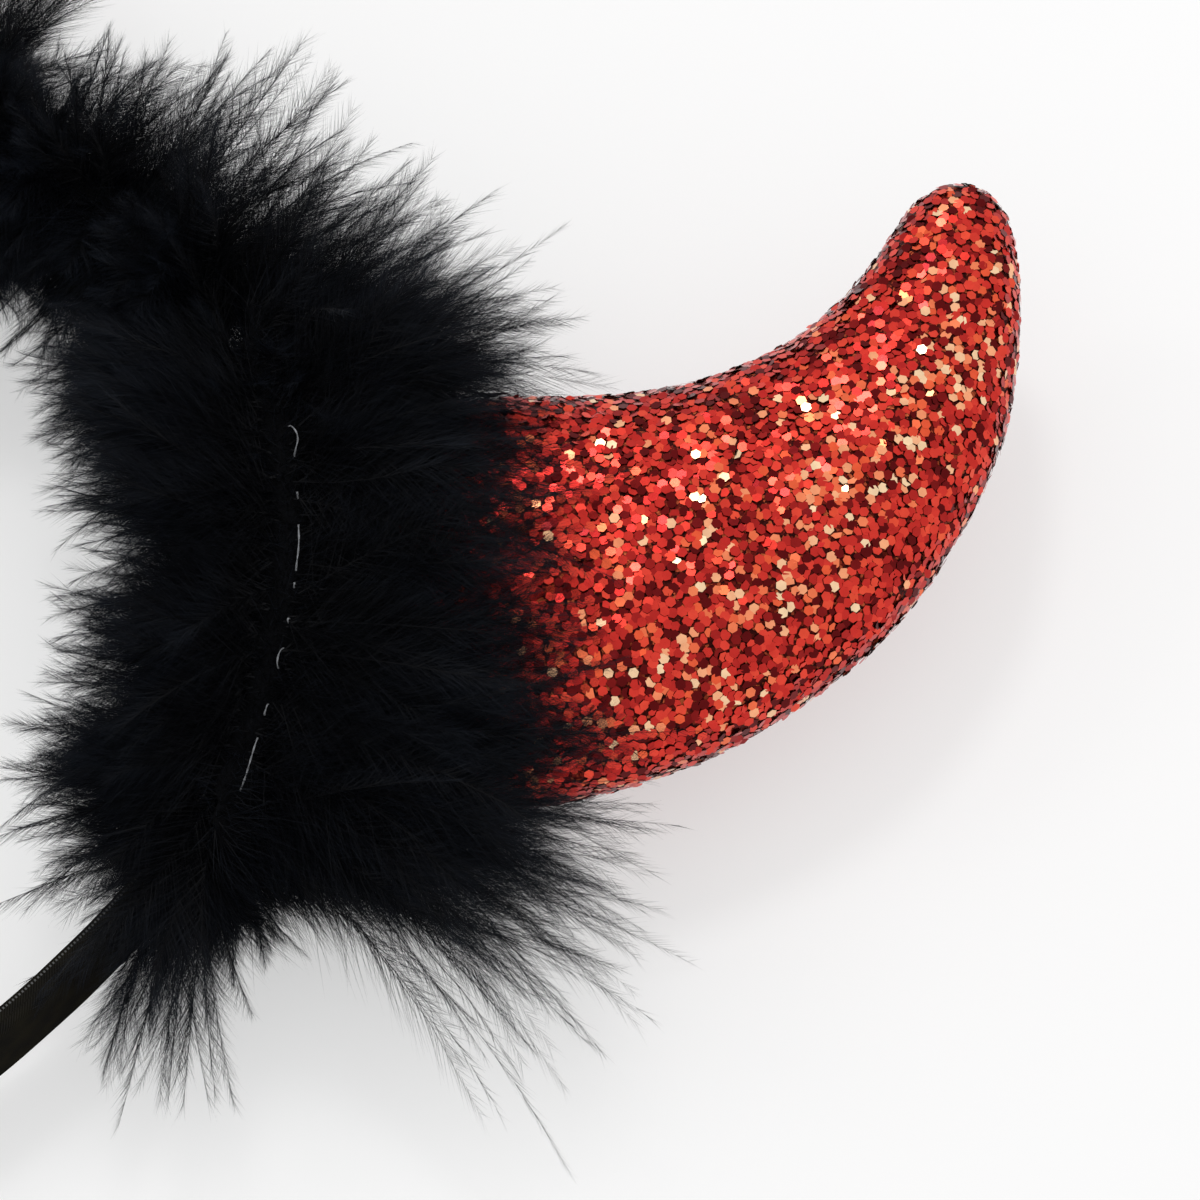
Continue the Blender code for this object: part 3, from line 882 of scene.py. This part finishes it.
def lock_places(count, chance):
    """Place round the horn, fan from outward (+) to headward (-), reach and bend of each lock."""
    around = 360 * (np.arange(count) + chance.random(count)) / count
    below = (around > 200) & (around < 340) & (np.arange(count) % 4 > 1)
    around = np.where(below, 360 - around, around)
    top_share = np.clip((np.sin(np.radians(around)) - 0.1) / 0.5, 0, 1)
    narrowest = FAN_AT_SIDES + (FAN_ON_TOP - FAN_AT_SIDES) * top_share
    narrowest = np.where(np.abs(around - 180) < 45, FAN_AT_LEG, narrowest)
    sides = np.where(np.arange(count) % 9 < 4, 1, -1)
    fan = sides * (narrowest + (WIDEST_FAN - narrowest) * chance.random(count) ** 0.8)
    keys = column(PLUME_REACH, "around")
    outer = np.interp(around, keys, column(PLUME_REACH, "outward"))
    inner = np.interp(around, keys, column(PLUME_REACH, "inward"))
    reach = np.where(fan > 0, outer, inner)
    reach = reach * (0.62 + 0.38 * np.abs(np.sin(np.radians(fan))))
    at_leg = chance.random(count) < LEG_LOCK_SHARE
    kinds = chance.choice(len(LEG_LOCKS), count, p=column(LEG_LOCKS, "share"))
    fans = column(LEG_LOCKS, "fan")[kinds] + column(LEG_LOCKS, "spread")[kinds] * chance.normal(0, 1, count)
    around = np.where(at_leg, column(LEG_LOCKS, "around")[kinds] + chance.normal(0, 7, count), around)
    fan = np.where(at_leg, fans, fan)
    reach = np.where(at_leg, column(LEG_LOCKS, "length")[kinds], reach)
    bend = np.where(at_leg, column(LEG_LOCKS, "bend")[kinds], 0.0)
    return np.radians(around), fan, reach, bend


# Where the plumes root in the collar: depth from the horn at its sides and under it, rise from the
# band, and the least rise beside the strip
ROOT_DEPTH = 8.4 * MM
ROOT_DEPTH_BELOW = 1.2 * MM
ROOT_RISE = 2.0 * MM
LEAST_RISE = 1.0 * MM

# How much the plumes lift at the upper and lower sides, and how lengths vary by lock and by plume
UPPER_LIFT = 0.34
LOWER_LIFT = 0.08
LOCK_LENGTHS = (0.80, 1.10)
PLUME_LENGTHS = (0.78, 1.06)


def collar_plume_roots(count, chance):
    """Roots, directions, lengths and bends of the plumes round the right horn, in locks."""
    locks = count // PLUMES_IN_LOCK + 1
    lock = chance.integers(0, locks, count)
    lock_around, lock_fan, lock_reach, lock_bend = lock_places(locks, chance)
    around = lock_around[lock] + chance.normal(0, 0.11, count)
    fan = np.radians(lock_fan[lock] + chance.normal(0, 7, count))
    lean = chance.normal(0, 0.20, (locks, 3))[lock]
    across, up, away = collar_sides(around)
    spread = chance.random(count) ** 1.6
    offset = (0.9 + 9.5 * spread) * MM * np.sin(fan)
    depth = ROOT_DEPTH * np.sqrt(1 - (offset / (13 * MM)) ** 2) - chance.uniform(0, 1.2, count) * MM
    depth = np.where(np.sin(around) < -0.5, ROOT_DEPTH_BELOW, depth)
    beside_band = np.abs(up + away[:, 1] * depth) < sizes().band_width / 2 + 1 * MM
    rise = ROOT_RISE + offset
    rise = np.where(beside_band, np.maximum(rise, LEAST_RISE), rise)
    roots = seat_points(across + away[:, 0] * depth, up + away[:, 1] * depth, rise)
    outward, along = horn_axes()
    lift = np.where(away[:, 1] > 0, UPPER_LIFT, LOWER_LIFT) * away[:, 1] * np.cos(fan)
    lift += 0.05 * (away[:, 1] > 0.5)
    directions = along * (away[:, 0] * np.cos(fan))[:, None] + outward * np.sin(fan)[:, None]
    directions[:, 2] += lift
    directions += (lean + chance.normal(0, 0.08, (count, 3))) * (1, 1, 0.6)
    lengths = lock_reach[lock] * MM - 6 * MM * spread * np.abs(np.sin(fan))
    lengths *= chance.uniform(*LOCK_LENGTHS, locks)[lock] * chance.uniform(*PLUME_LENGTHS, count)
    return roots, unit(directions), lengths, -along * lock_bend[lock][:, None]


# Reach of the crown's plumes from the right horn's side over the middle (90) to the left one's
CROWN_REACH = (
    {"angle": 58, "outward": 26, "inward": 20},
    {"angle": 69, "outward": 28, "inward": 20},
    {"angle": 78, "outward": 30, "inward": 20},
    {"angle": 84, "outward": 29, "inward": 18},
    {"angle": 88, "outward": 24, "inward": 16},
    {"angle": 95, "outward": 17, "inward": 15},
    {"angle": 102, "outward": 14, "inward": 15},
    {"angle": 110, "outward": 6, "inward": 16},
    {"angle": 122, "outward": 12, "inward": 19},
)

# Crown's locks: degrees that they cover to each side of its middle, degrees round the strip's section
# where they start and that they cover, each one's step on as a share of those, height and spread of
# their roots, and how their lengths vary
CROWN_HALF_ARC = 33
SECTION_START = -62
SECTION_TURN = 304
SECTION_STEP = 0.618
CROWN_ROOT_HEIGHT = 9.0 * MM
CROWN_ROOT_SPREAD = 5 * MM
CROWN_LENGTHS = (0.8, 1.15)


def crown_plume_roots(count, chance):
    """Roots, directions, lengths and bends of the plumes over the crown."""
    locks = count // PLUMES_IN_LOCK + 1
    lock = chance.integers(0, locks, count)
    steps = (np.arange(locks) + chance.random(locks)) / locks
    lock_angle = 90 + CROWN_HALF_ARC * signed_power(2 * steps - 1, 0.8)
    degrees = lock_angle[lock] + chance.normal(0, 2.5, count)
    angle = np.radians(degrees)
    lock_section = SECTION_START + SECTION_TURN * (np.arange(locks) * SECTION_STEP % 1)
    section = np.radians(lock_section[lock] + chance.normal(0, 9, count))
    flatten = np.where(np.sin(section) > 0, 0.5, 0.3)
    radial = np.stack((np.cos(angle), np.sin(angle), np.zeros(count)), axis=1)
    tangent = np.stack((-np.sin(angle), np.cos(angle), np.zeros(count)), axis=1)
    rise = ROOT_RISE + CROWN_ROOT_SPREAD * np.cos(section) * chance.random(count)
    roots = radial * (BAND_OUTER + rise)[:, None]
    roots[:, 2] = CROWN_ROOT_HEIGHT * signed_power(np.sin(section), 0.4)
    directions = radial * np.cos(section)[:, None]
    directions += tangent * (chance.normal(0, 0.20, locks)[lock] + chance.normal(0, 0.1, count))[:, None]
    directions[:, 2] += np.sin(section) * flatten
    keys = column(CROWN_REACH, "angle")
    outer = np.interp(degrees, keys, column(CROWN_REACH, "outward"))
    inner = np.interp(degrees, keys, column(CROWN_REACH, "inward"))
    reach = np.where(np.cos(section) > 0, outer, inner) * MM
    reach *= 0.7 + 0.3 * np.abs(np.cos(section))
    lengths = reach * chance.uniform(*CROWN_LENGTHS, locks)[lock]
    return roots, unit(directions), lengths, np.zeros((count, 3))


def ribbons(path, widths, facing):
    """Corner points of flat tapering ribbons along paths: two at each place and one at the tip."""
    edge = np.cross(np.gradient(path, axis=1), facing[:, None, :])
    edge = unit(edge) * widths[:, :, None] / 2
    pairs = np.stack((path[:, :-1] - edge[:, :-1], path[:, :-1] + edge[:, :-1]), axis=2)
    count, steps = path.shape[0], path.shape[1] - 1
    return np.concatenate((pairs.reshape(count, steps * 2, 3), path[:, -1:]), axis=1)


def ribbon_faces(count, steps, start):
    """Quads and one tip triangle for each ribbon of this many steps."""
    corners = steps * 2 + 1
    base = start + np.arange(count)[:, None] * corners
    quads = [base + np.array((2 * s, 2 * s + 1, 2 * s + 3, 2 * s + 2)) for s in range(steps - 1)]
    tips = base + np.array((2 * steps - 2, 2 * steps - 1, 2 * steps))
    return np.concatenate([np.empty((0, 4), int), *quads]), tips


def shaft_points(roots, directions, lengths, curl, share):
    """Points on curved shafts at these shares of their lengths."""
    bend = curl[:, None, :] * (share**2)[:, :, None] * 0.5
    return roots[:, None, :] + (directions[:, None, :] * share[:, :, None] + bend) * lengths[:, None, None]


# Barbs: degrees from the shaft at its root, how many of them they close by towards its tip, how far
# they sweep forward and sag, and the shortest and longest barb of a plume
BARB_SPLAY = 62
BARB_CLOSING = 36
BARB_SWEEP = 0.55
BARB_SAG = 0.12
BARB_LENGTHS = (5.0 * MM, 10.0 * MM)


def barb_paths(roots, directions, lengths, curl, chance):
    """Paths of the barbs of each plume: long and open at its root, short and closed at its tip."""
    count = len(roots)
    barbs = sizes().plume_barbs
    places = 0.02 + 0.965 * (np.arange(barbs) + chance.random((count, barbs))) / barbs
    barb_roots = shaft_points(roots, directions, lengths, curl, places)
    forward = unit(directions[:, None, :] + curl[:, None, :] * places[:, :, None])
    sideways = unit(np.cross(directions, chance.normal(0, 1, (count, 3))))
    upright = np.cross(forward, sideways[:, None, :])
    side = np.where(np.arange(barbs) % 2 == 0, 1.0, -1.0)[None, :]
    roll = 0.5 * chance.normal(0, 1, (count, 1)) + chance.normal(0, 0.35, (count, barbs))
    splay = np.radians(BARB_SPLAY - BARB_CLOSING * places + chance.normal(0, 6, (count, barbs)))
    outward = sideways[:, None, :] * (np.cos(roll) * side)[:, :, None] + upright * np.sin(roll)[:, :, None]
    start = forward * np.cos(splay)[:, :, None] + outward * np.sin(splay)[:, :, None]
    sweep = forward * BARB_SWEEP + chance.normal(0, 0.16, (count, barbs, 3))
    sweep[:, :, 2] -= BARB_SAG
    longest = np.clip(4.0 * MM + 0.20 * lengths, *BARB_LENGTHS) * chance.uniform(0.8, 1.2, count)
    reach = longest[:, None] * (1 - 0.82 * places**1.3) * chance.uniform(0.75, 1.12, (count, barbs))
    steps = np.linspace(0, 1, BARB_STEPS + 1)[None, None, :, None]
    moves = start[:, :, None, :] * steps + sweep[:, :, None, :] * steps**2 * 0.5
    paths = barb_roots[:, :, None, :] + moves * reach[:, :, None, None]
    return paths.reshape(count * barbs, BARB_STEPS + 1, 3), places.reshape(-1)


# How unevenly the shafts curl and how far they sag, their widths from root to tip as multiples of a
# barb's, and the millimetres by which the strands clear the horns
SHAFT_CURL = 0.34
SHAFT_SAG = 0.36
SHAFT_WIDTHS = (3.0, 2.6, 2.0, 1.3, 0.0)
HORN_CLEARANCE = (0.3, 1.6)


def grow_plumes(name, plumes, chance, horn):
    """One piece of many plumes: each a curved shaft with two rows of fine barbs."""
    roots, directions, lengths, bends = plumes
    count = len(roots)
    curl = bends + chance.normal(0, SHAFT_CURL, (count, 3))
    curl[:, 2] -= SHAFT_SAG
    curl -= directions * (curl * directions).sum(axis=1, keepdims=True)
    paths, places = barb_paths(roots, directions, lengths, curl, chance)
    share = np.tile(np.linspace(0, 1, SHAFT_STEPS + 1), (count, 1))
    shafts = shaft_points(roots, directions, lengths, curl, share)
    widths = sizes().barb_width * (1.9 - 1.25 * places[:, None] ** 0.8) * np.array(((1.0, 0.0),))
    barbs = ribbons(paths, widths, chance.normal(0, 1, (len(paths), 3)))
    stem_widths = sizes().barb_width * np.tile(SHAFT_WIDTHS, (count, 1))
    stems = ribbons(shafts, stem_widths, chance.normal(0, 1, (count, 3)))
    flat = np.concatenate((barbs.reshape(-1, 3), stems.reshape(-1, 3)))
    spare = np.concatenate(
        (
            np.repeat(chance.uniform(*HORN_CLEARANCE, len(barbs)), barbs.shape[1]),
            np.repeat(chance.uniform(*HORN_CLEARANCE, count), stems.shape[1]),
        )
    )
    flat = horn.keep_out(flat, spare * MM)
    flat[:, 2] = np.maximum(flat[:, 2], floor_in_plane(flat[:, 1]) + (0.15 + 0.35 * spare) * MM)
    barb_quads, barb_tips = ribbon_faces(len(barbs), BARB_STEPS, 0)
    stem_quads, stem_tips = ribbon_faces(count, SHAFT_STEPS, barbs.shape[0] * barbs.shape[1])
    thing = mesh_from_arrays(
        name,
        from_plane(flat),
        quads=np.concatenate((barb_quads, stem_quads)),
        triangles=np.concatenate((barb_tips, stem_tips)),
    )
    steps = np.linspace(0, 1, BARB_STEPS + 1)
    along_barb = np.append(np.repeat(steps[:-1], 2), 1.0)
    barb_values = 0.45 * np.repeat(places, len(along_barb)) + 0.55 * np.tile(along_barb, len(paths))
    # The marabou material paints its paler sheen where this value is high, towards barb tips and plume tips
    set_point_values(thing, "along", np.append(barb_values, np.zeros(count * stems.shape[1])))
    return thing


# Length of the short down in millimetres
DOWN_LENGTHS = (3.5, 9.0)


def grow_undercoat(name, core, count, chance, horn):
    """Short down over a core, brushed to both sides of its parting."""
    places, facing = surface_samples(core, count, chance)
    roots = to_plane(places)
    normals = facing @ PLANE_AXES.T
    radial = unit(roots * (1, 1, 0))
    end_facing = np.abs(normals @ horn_axes()[1])
    from_parting = np.linalg.norm(roots[:, :2], axis=1) - (BAND_OUTER + ROOT_RISE)
    sideways = radial * (np.tanh(from_parting / (1.5 * MM)) * (1 - 0.8 * end_facing))[:, None]
    start = unit(normals * 0.55 + sideways * 0.8 + chance.normal(0, 0.38, (count, 3)))
    sweep = sideways * 0.7 + chance.normal(0, 0.35, (count, 3))
    reach = chance.uniform(*DOWN_LENGTHS, count) * MM
    reach *= np.clip(0.35 + np.abs(from_parting) / (5 * MM), 0.35, 1)
    steps = np.linspace(0, 1, BARB_STEPS + 1)[None, :, None]
    moves = (start[:, None, :] * steps + sweep[:, None, :] * steps**2 * 0.5) * reach[:, None, None]
    paths = roots[:, None, :] + moves
    widths = sizes().barb_width * np.tile((2.2, 0.0), (count, 1))
    barbs = ribbons(paths, widths, chance.normal(0, 1, (count, 3)))
    flat = horn.keep_out(barbs.reshape(-1, 3), 0.3 * MM)
    flat[:, 2] = np.maximum(flat[:, 2], floor_in_plane(flat[:, 1]) + 0.2 * MM)
    quads, tips = ribbon_faces(count, BARB_STEPS, 0)
    thing = mesh_from_arrays(name, from_plane(flat), quads=quads, triangles=tips)
    # The marabou material paints its paler sheen where this value is high, at the strands' tips
    set_point_values(thing, "along", np.tile((0.2, 0.2, 0.75), count))
    return thing


# Radius of the down's cord round a horn and over the crown, and the mesh steps that it is made with
COLLAR_CORD = 5.6 * MM
CROWN_CORD = 8.6 * MM
FIRST_VOXEL = 2.0 * MM
LAST_VOXEL = 1.8 * MM

# Lines that the collar's cord follows: rise from the band and depth from the horn, in millimetres
CORD_LINES = (
    {"rise": -4, "depth": -1, "ends_only": False},
    {"rise": 2, "depth": 2.6, "ends_only": False},
    {"rise": 8, "depth": -1, "ends_only": False},
    {"rise": 2, "depth": 7, "ends_only": True},
    {"rise": 2, "depth": 10, "ends_only": True},
)


def collar_path():
    """Middle line of the trim's cord round the right horn, deeper at its two ends by the band."""
    around = np.linspace(0, math.tau, 160)
    across, up, away = collar_sides(around)
    rings = []
    for line in CORD_LINES:
        step = away * line["depth"] * MM
        points = seat_points(across + step[:, 0], up + step[:, 1], line["rise"] * MM)
        if line["ends_only"]:
            points = points[np.abs(np.sin(around)) < 0.35]
        rings.append(points)
    return np.concatenate(rings)


def crown_path():
    angle = np.radians(np.linspace(66, 114, 60))
    middle = BAND_OUTER - sizes().band_thickness / 2
    return middle * np.stack((np.cos(angle), np.sin(angle), 0 * angle), axis=1)


def drawn_to_path(flat, path, limit):
    """Pulls points that lie further than this from the path back towards it."""
    nearest = np.empty(len(flat), int)
    for start in range(0, len(flat), 2000):
        gaps = flat[start : start + 2000, None, :] - path[None]
        nearest[start : start + 2000] = (gaps**2).sum(axis=2).argmin(axis=1)
    apart = flat - path[nearest]
    distance = np.linalg.norm(apart, axis=1)
    share = np.minimum(1, limit / np.maximum(distance, 1e-6))
    return path[nearest] + apart * share[:, None]


class HEADBAND_OT_down_cores(bpy.types.Operator):
    """Makes the dense down that backs the plumes, drawn in from the trim's solids"""

    bl_idname = "headband.down_cores"
    bl_label = "Down Cores"

    def execute(self, context):
        material = down_material()
        self.grow_core("marabou_collar_right", "down_collar_right", collar_path(), COLLAR_CORD, material)
        self.grow_core("marabou_crown", "down_crown", crown_path(), CROWN_CORD, material)
        left = mirrored_copy(bpy.data.objects["down_collar_right"], "down_collar_left")
        finish_piece(left, material, "black_marabou", "marabou_collar_left")
        return {"FINISHED"}

    def grow_core(self, node, name, path, limit, material):
        thing = copied_node(node, name)
        apply_modifier(thing, "REMESH", mode="VOXEL", voxel_size=FIRST_VOXEL)
        flat = drawn_to_path(to_plane(mesh_points(thing)), path, limit)
        set_mesh_points(thing, from_plane(flat))
        apply_modifier(thing, "REMESH", mode="VOXEL", voxel_size=LAST_VOXEL)
        apply_modifier(thing, "SMOOTH", factor=0.7, iterations=6)
        lumps = mesh_points(thing)
        uneven = np.sin(lumps[:, 0] * 900) * np.sin(lumps[:, 1] * 830) - 1.5
        lumps += vertex_normals(thing) * (0.4 * MM * uneven)[:, None]
        lumps[:, 2] = np.maximum(lumps[:, 2], 0.1 * MM)
        set_mesh_points(thing, lumps)
        thing.data.shade_smooth()
        finish_piece(thing, material, "black_marabou", node)


# Strands of short down round each horn and over the crown
COLLAR_DOWN = 26000
CROWN_DOWN = 13000


class HEADBAND_OT_marabou_plumes(bpy.types.Operator):
    """Grows the marabou plumes round both horns and over the crown"""

    bl_idname = "headband.marabou_plumes"
    bl_label = "Marabou Plumes"

    def execute(self, context):
        chance = np.random.default_rng(5)
        horn = HornHeights(chance)
        material = marabou_material()
        share = 1.0
        right_core = bpy.data.objects["down_collar_right"]
        crown_core = bpy.data.objects["down_crown"]
        right = grow_undercoat("marabou_down_right", right_core, int(COLLAR_DOWN * share), chance, horn)
        left = mirrored_copy(right, "marabou_down_left")
        crown = grow_undercoat("marabou_down_crown", crown_core, int(CROWN_DOWN * share), chance, horn)
        finish_piece(right, material, "black_marabou", "marabou_collar_right")
        finish_piece(left, material, "black_marabou", "marabou_collar_left")
        finish_piece(crown, material, "black_marabou", "marabou_crown")
        count = int(sizes().collar_plumes * share)
        plumes = collar_plume_roots(count, chance)
        for number, rows in enumerate(np.array_split(np.arange(count), PLUME_PIECES), 1):
            some = [values[rows] for values in plumes]
            right = grow_plumes(f"marabou_plumes_right_{number}", some, chance, horn)
            left = mirrored_copy(right, f"marabou_plumes_left_{number}")
            finish_piece(right, material, "black_marabou", "marabou_collar_right")
            finish_piece(left, material, "black_marabou", "marabou_collar_left")
        plumes = crown_plume_roots(int(sizes().crown_plumes * share), chance)
        crown = grow_plumes("marabou_plumes_crown", plumes, chance, horn)
        finish_piece(crown, material, "black_marabou", "marabou_crown")
        return {"FINISHED"}


# Thread: radius of a ply, how far it winds off the middle, and its turn in each degree round the horn
PLY_RADIUS = 0.055 * MM
PLY_WIND = 0.055 * MM
PLY_TURN = 1.1

# Where a stitch lies: depth from the horn, how far its ends dip, and millimetres out from the band
STITCH_DEPTH = 9.3 * MM
STITCH_DIP = 1.0 * MM
STITCH_RISE = 3.6

# Stretches of thread that show along the parting: start and end round the horn, and side offset
THREAD_STITCHES = (
    {"start": 60, "end": 69, "aside": 0.8},
    {"start": 79, "end": 80, "aside": 0.0},
    {"start": 86, "end": 95, "aside": 0.2},
    {"start": 98, "end": 98.8, "aside": 0.1},
    {"start": 106, "end": 107, "aside": 0.0},
    {"start": 113, "end": 118, "aside": -0.2},
    {"start": 127, "end": 130, "aside": 0.1},
    {"start": 136, "end": 159, "aside": 0.4},
)


class HEADBAND_OT_trim_stitches(bpy.types.Operator):
    """Sews the grey two-ply thread that shows in the trim's parting"""

    bl_idname = "headband.trim_stitches"
    bl_label = "Trim Stitches"

    def execute(self, context):
        meshes = []
        for stitch in THREAD_STITCHES:
            for ply in (0.0, math.pi):
                meshes.append(self.ply_curve(stitch, ply))
        select_only(meshes[0])
        for thing in meshes:
            thing.select_set(True)
        bpy.ops.object.convert(target="MESH")
        bpy.ops.object.join()
        right = bpy.context.view_layer.objects.active
        right.name = "trim_thread_right"
        right.data.shade_smooth()
        left = mirrored_copy(right, "trim_thread_left")
        material = thread_material()
        for thing in (right, left):
            finish_piece(thing, material, "black_marabou")
        return {"FINISHED"}

    def ply_curve(self, stitch, ply):
        """One ply of a stitch, as a bevelled curve that winds round the stitch's line."""
        steps = 8 + int(2 * (stitch["end"] - stitch["start"]))
        around = np.radians(np.linspace(stitch["start"], stitch["end"], steps))
        share = np.linspace(0, 1, steps)
        across, up, away = collar_sides(around)
        depth = STITCH_DEPTH - STITCH_DIP * (2 * share - 1) ** 4
        aside = (STITCH_RISE + stitch["aside"] * np.sin(math.pi * share)) * MM
        points = seat_points(across + away[:, 0] * depth, up + away[:, 1] * depth, aside)
        outward, _ = horn_axes()
        turn = share * (stitch["end"] - stitch["start"]) * PLY_TURN + ply
        points = points + outward * (np.cos(turn) * PLY_WIND)[:, None]
        points[:, 2] += np.sin(turn) * PLY_WIND
        curve = bpy.data.curves.new("thread", "CURVE")
        curve.dimensions = "3D"
        curve.bevel_depth = PLY_RADIUS
        curve.bevel_resolution = 1
        curve.use_fill_caps = True
        spline = curve.splines.new("POLY")
        spline.points.add(len(points) - 1)
        rows = np.concatenate((from_plane(points), np.ones((len(points), 1))), axis=1)
        spline.points.foreach_set("co", rows.astype(np.float32).ravel())
        thing = bpy.data.objects.new("thread", curve)
        bpy.context.scene.collection.objects.link(thing)
        return thing


# Camera: degrees round and up, metres away, width of its sensor in millimetres, and the photo's
# width and middle in the band's plane
CAMERA_AZIMUTH = 40.0
CAMERA_ELEVATION = 65.0
CAMERA_DISTANCE = 1.0
SENSOR_WIDTH = 36.0
PHOTO_SPAN = 144.6 * MM
PHOTO_MIDDLE = np.array((76.2, 63.0, -3.3)) * MM

# Studio: place in metres, size and power of each soft light, and the strength of the white world
SOFT_LIGHTS = (
    {"name": "key_softbox", "place": (-0.40, 0.40, 0.95), "size": 0.22, "power": 2.1},
    {"name": "side_softbox", "place": (-0.75, -0.25, 0.80), "size": 0.25, "power": 0.7},
)
WORLD_STRENGTH = 0.93
FLOOR_SIZE = 8.0


def aim(thing, target):
    thing.rotation_mode = "QUATERNION"
    thing.rotation_quaternion = (Vector(target) - thing.location).to_track_quat("-Z", "Y")


def add_area_light(row, target):
    light = bpy.data.lights.new(row["name"], "AREA")
    light.shape = "DISK"
    light.size = row["size"]
    light.energy = row["power"]
    thing = bpy.data.objects.new(row["name"], light)
    thing.location = row["place"]
    bpy.context.scene.collection.objects.link(thing)
    aim(thing, target)


class HEADBAND_OT_stage(bpy.types.Operator):
    """Sets up the white floor, the soft studio light and the camera at the photograph's angle"""

    bl_idname = "headband.stage"
    bl_label = "Stage"

    def execute(self, context):
        bpy.ops.object.select_all(action="DESELECT")
        bpy.ops.mesh.primitive_plane_add(size=FLOOR_SIZE, location=(0, 0, 0))
        floor = context.active_object
        floor.name = "studio_floor"
        floor.data.materials.append(floor_material())
        target = Vector(from_plane(PHOTO_MIDDLE))
        turn = math.radians(CAMERA_AZIMUTH)
        rise = math.radians(CAMERA_ELEVATION)
        back = Vector(
            (math.sin(turn) * math.cos(rise), -math.cos(turn) * math.cos(rise), math.sin(rise))
        )
        camera_data = bpy.data.cameras.new("photo_camera")
        camera_data.sensor_width = SENSOR_WIDTH
        camera_data.lens = SENSOR_WIDTH * CAMERA_DISTANCE / PHOTO_SPAN
        camera = bpy.data.objects.new("photo_camera", camera_data)
        camera.location = target + back * CAMERA_DISTANCE
        context.scene.collection.objects.link(camera)
        aim(camera, target)
        context.scene.camera = camera
        for row in SOFT_LIGHTS:
            add_area_light(row, target)
        world = bpy.data.worlds.new("studio")
        world.use_nodes = True
        background = world.node_tree.nodes["Background"]
        background.inputs["Color"].default_value = (1.0, 1.0, 1.0, 1.0)
        background.inputs["Strength"].default_value = WORLD_STRENGTH
        context.scene.world = world
        context.scene.view_settings.view_transform = "Standard"
        return {"FINISHED"}


class HEADBAND_PT_panel(bpy.types.Panel):
    """Lists the pieces of the headband in the order that they are made"""

    bl_idname = "HEADBAND_PT_panel"
    bl_label = "Devil Horns Headband"
    bl_space_type = "VIEW_3D"
    bl_region_type = "UI"
    bl_category = "Headband"

    def draw(self, context):
        for group in (context.scene.headband_sizes, context.scene.headband_colours):
            box = self.layout.box()
            for key in group.__annotations__:
                box.prop(group, key)
        for operator in OPERATORS:
            self.layout.operator(operator.bl_idname)


OPERATORS = (
    HEADBAND_OT_stage,
    HEADBAND_OT_satin_band,
    HEADBAND_OT_horn_covers,
    HEADBAND_OT_glitter_flakes,
    HEADBAND_OT_down_cores,
    HEADBAND_OT_marabou_plumes,
    HEADBAND_OT_trim_stitches,
)
CLASSES = (HeadbandSizes, HeadbandColours, *OPERATORS, HEADBAND_PT_panel)


def register():
    for cls in CLASSES:
        bpy.utils.register_class(cls)
    bpy.types.Scene.headband_sizes = PointerProperty(type=HeadbandSizes)
    bpy.types.Scene.headband_colours = PointerProperty(type=HeadbandColours)


def unregister():
    del bpy.types.Scene.headband_sizes
    del bpy.types.Scene.headband_colours
    for cls in reversed(CLASSES):
        bpy.utils.unregister_class(cls)


def main():
    register()
    bpy.ops.headband.stage()
    bpy.ops.headband.satin_band()
    bpy.ops.headband.horn_covers()
    bpy.ops.headband.glitter_flakes()
    bpy.ops.headband.down_cores()
    bpy.ops.headband.marabou_plumes()
    bpy.ops.headband.trim_stitches()


if __name__ == "__main__":
    main()
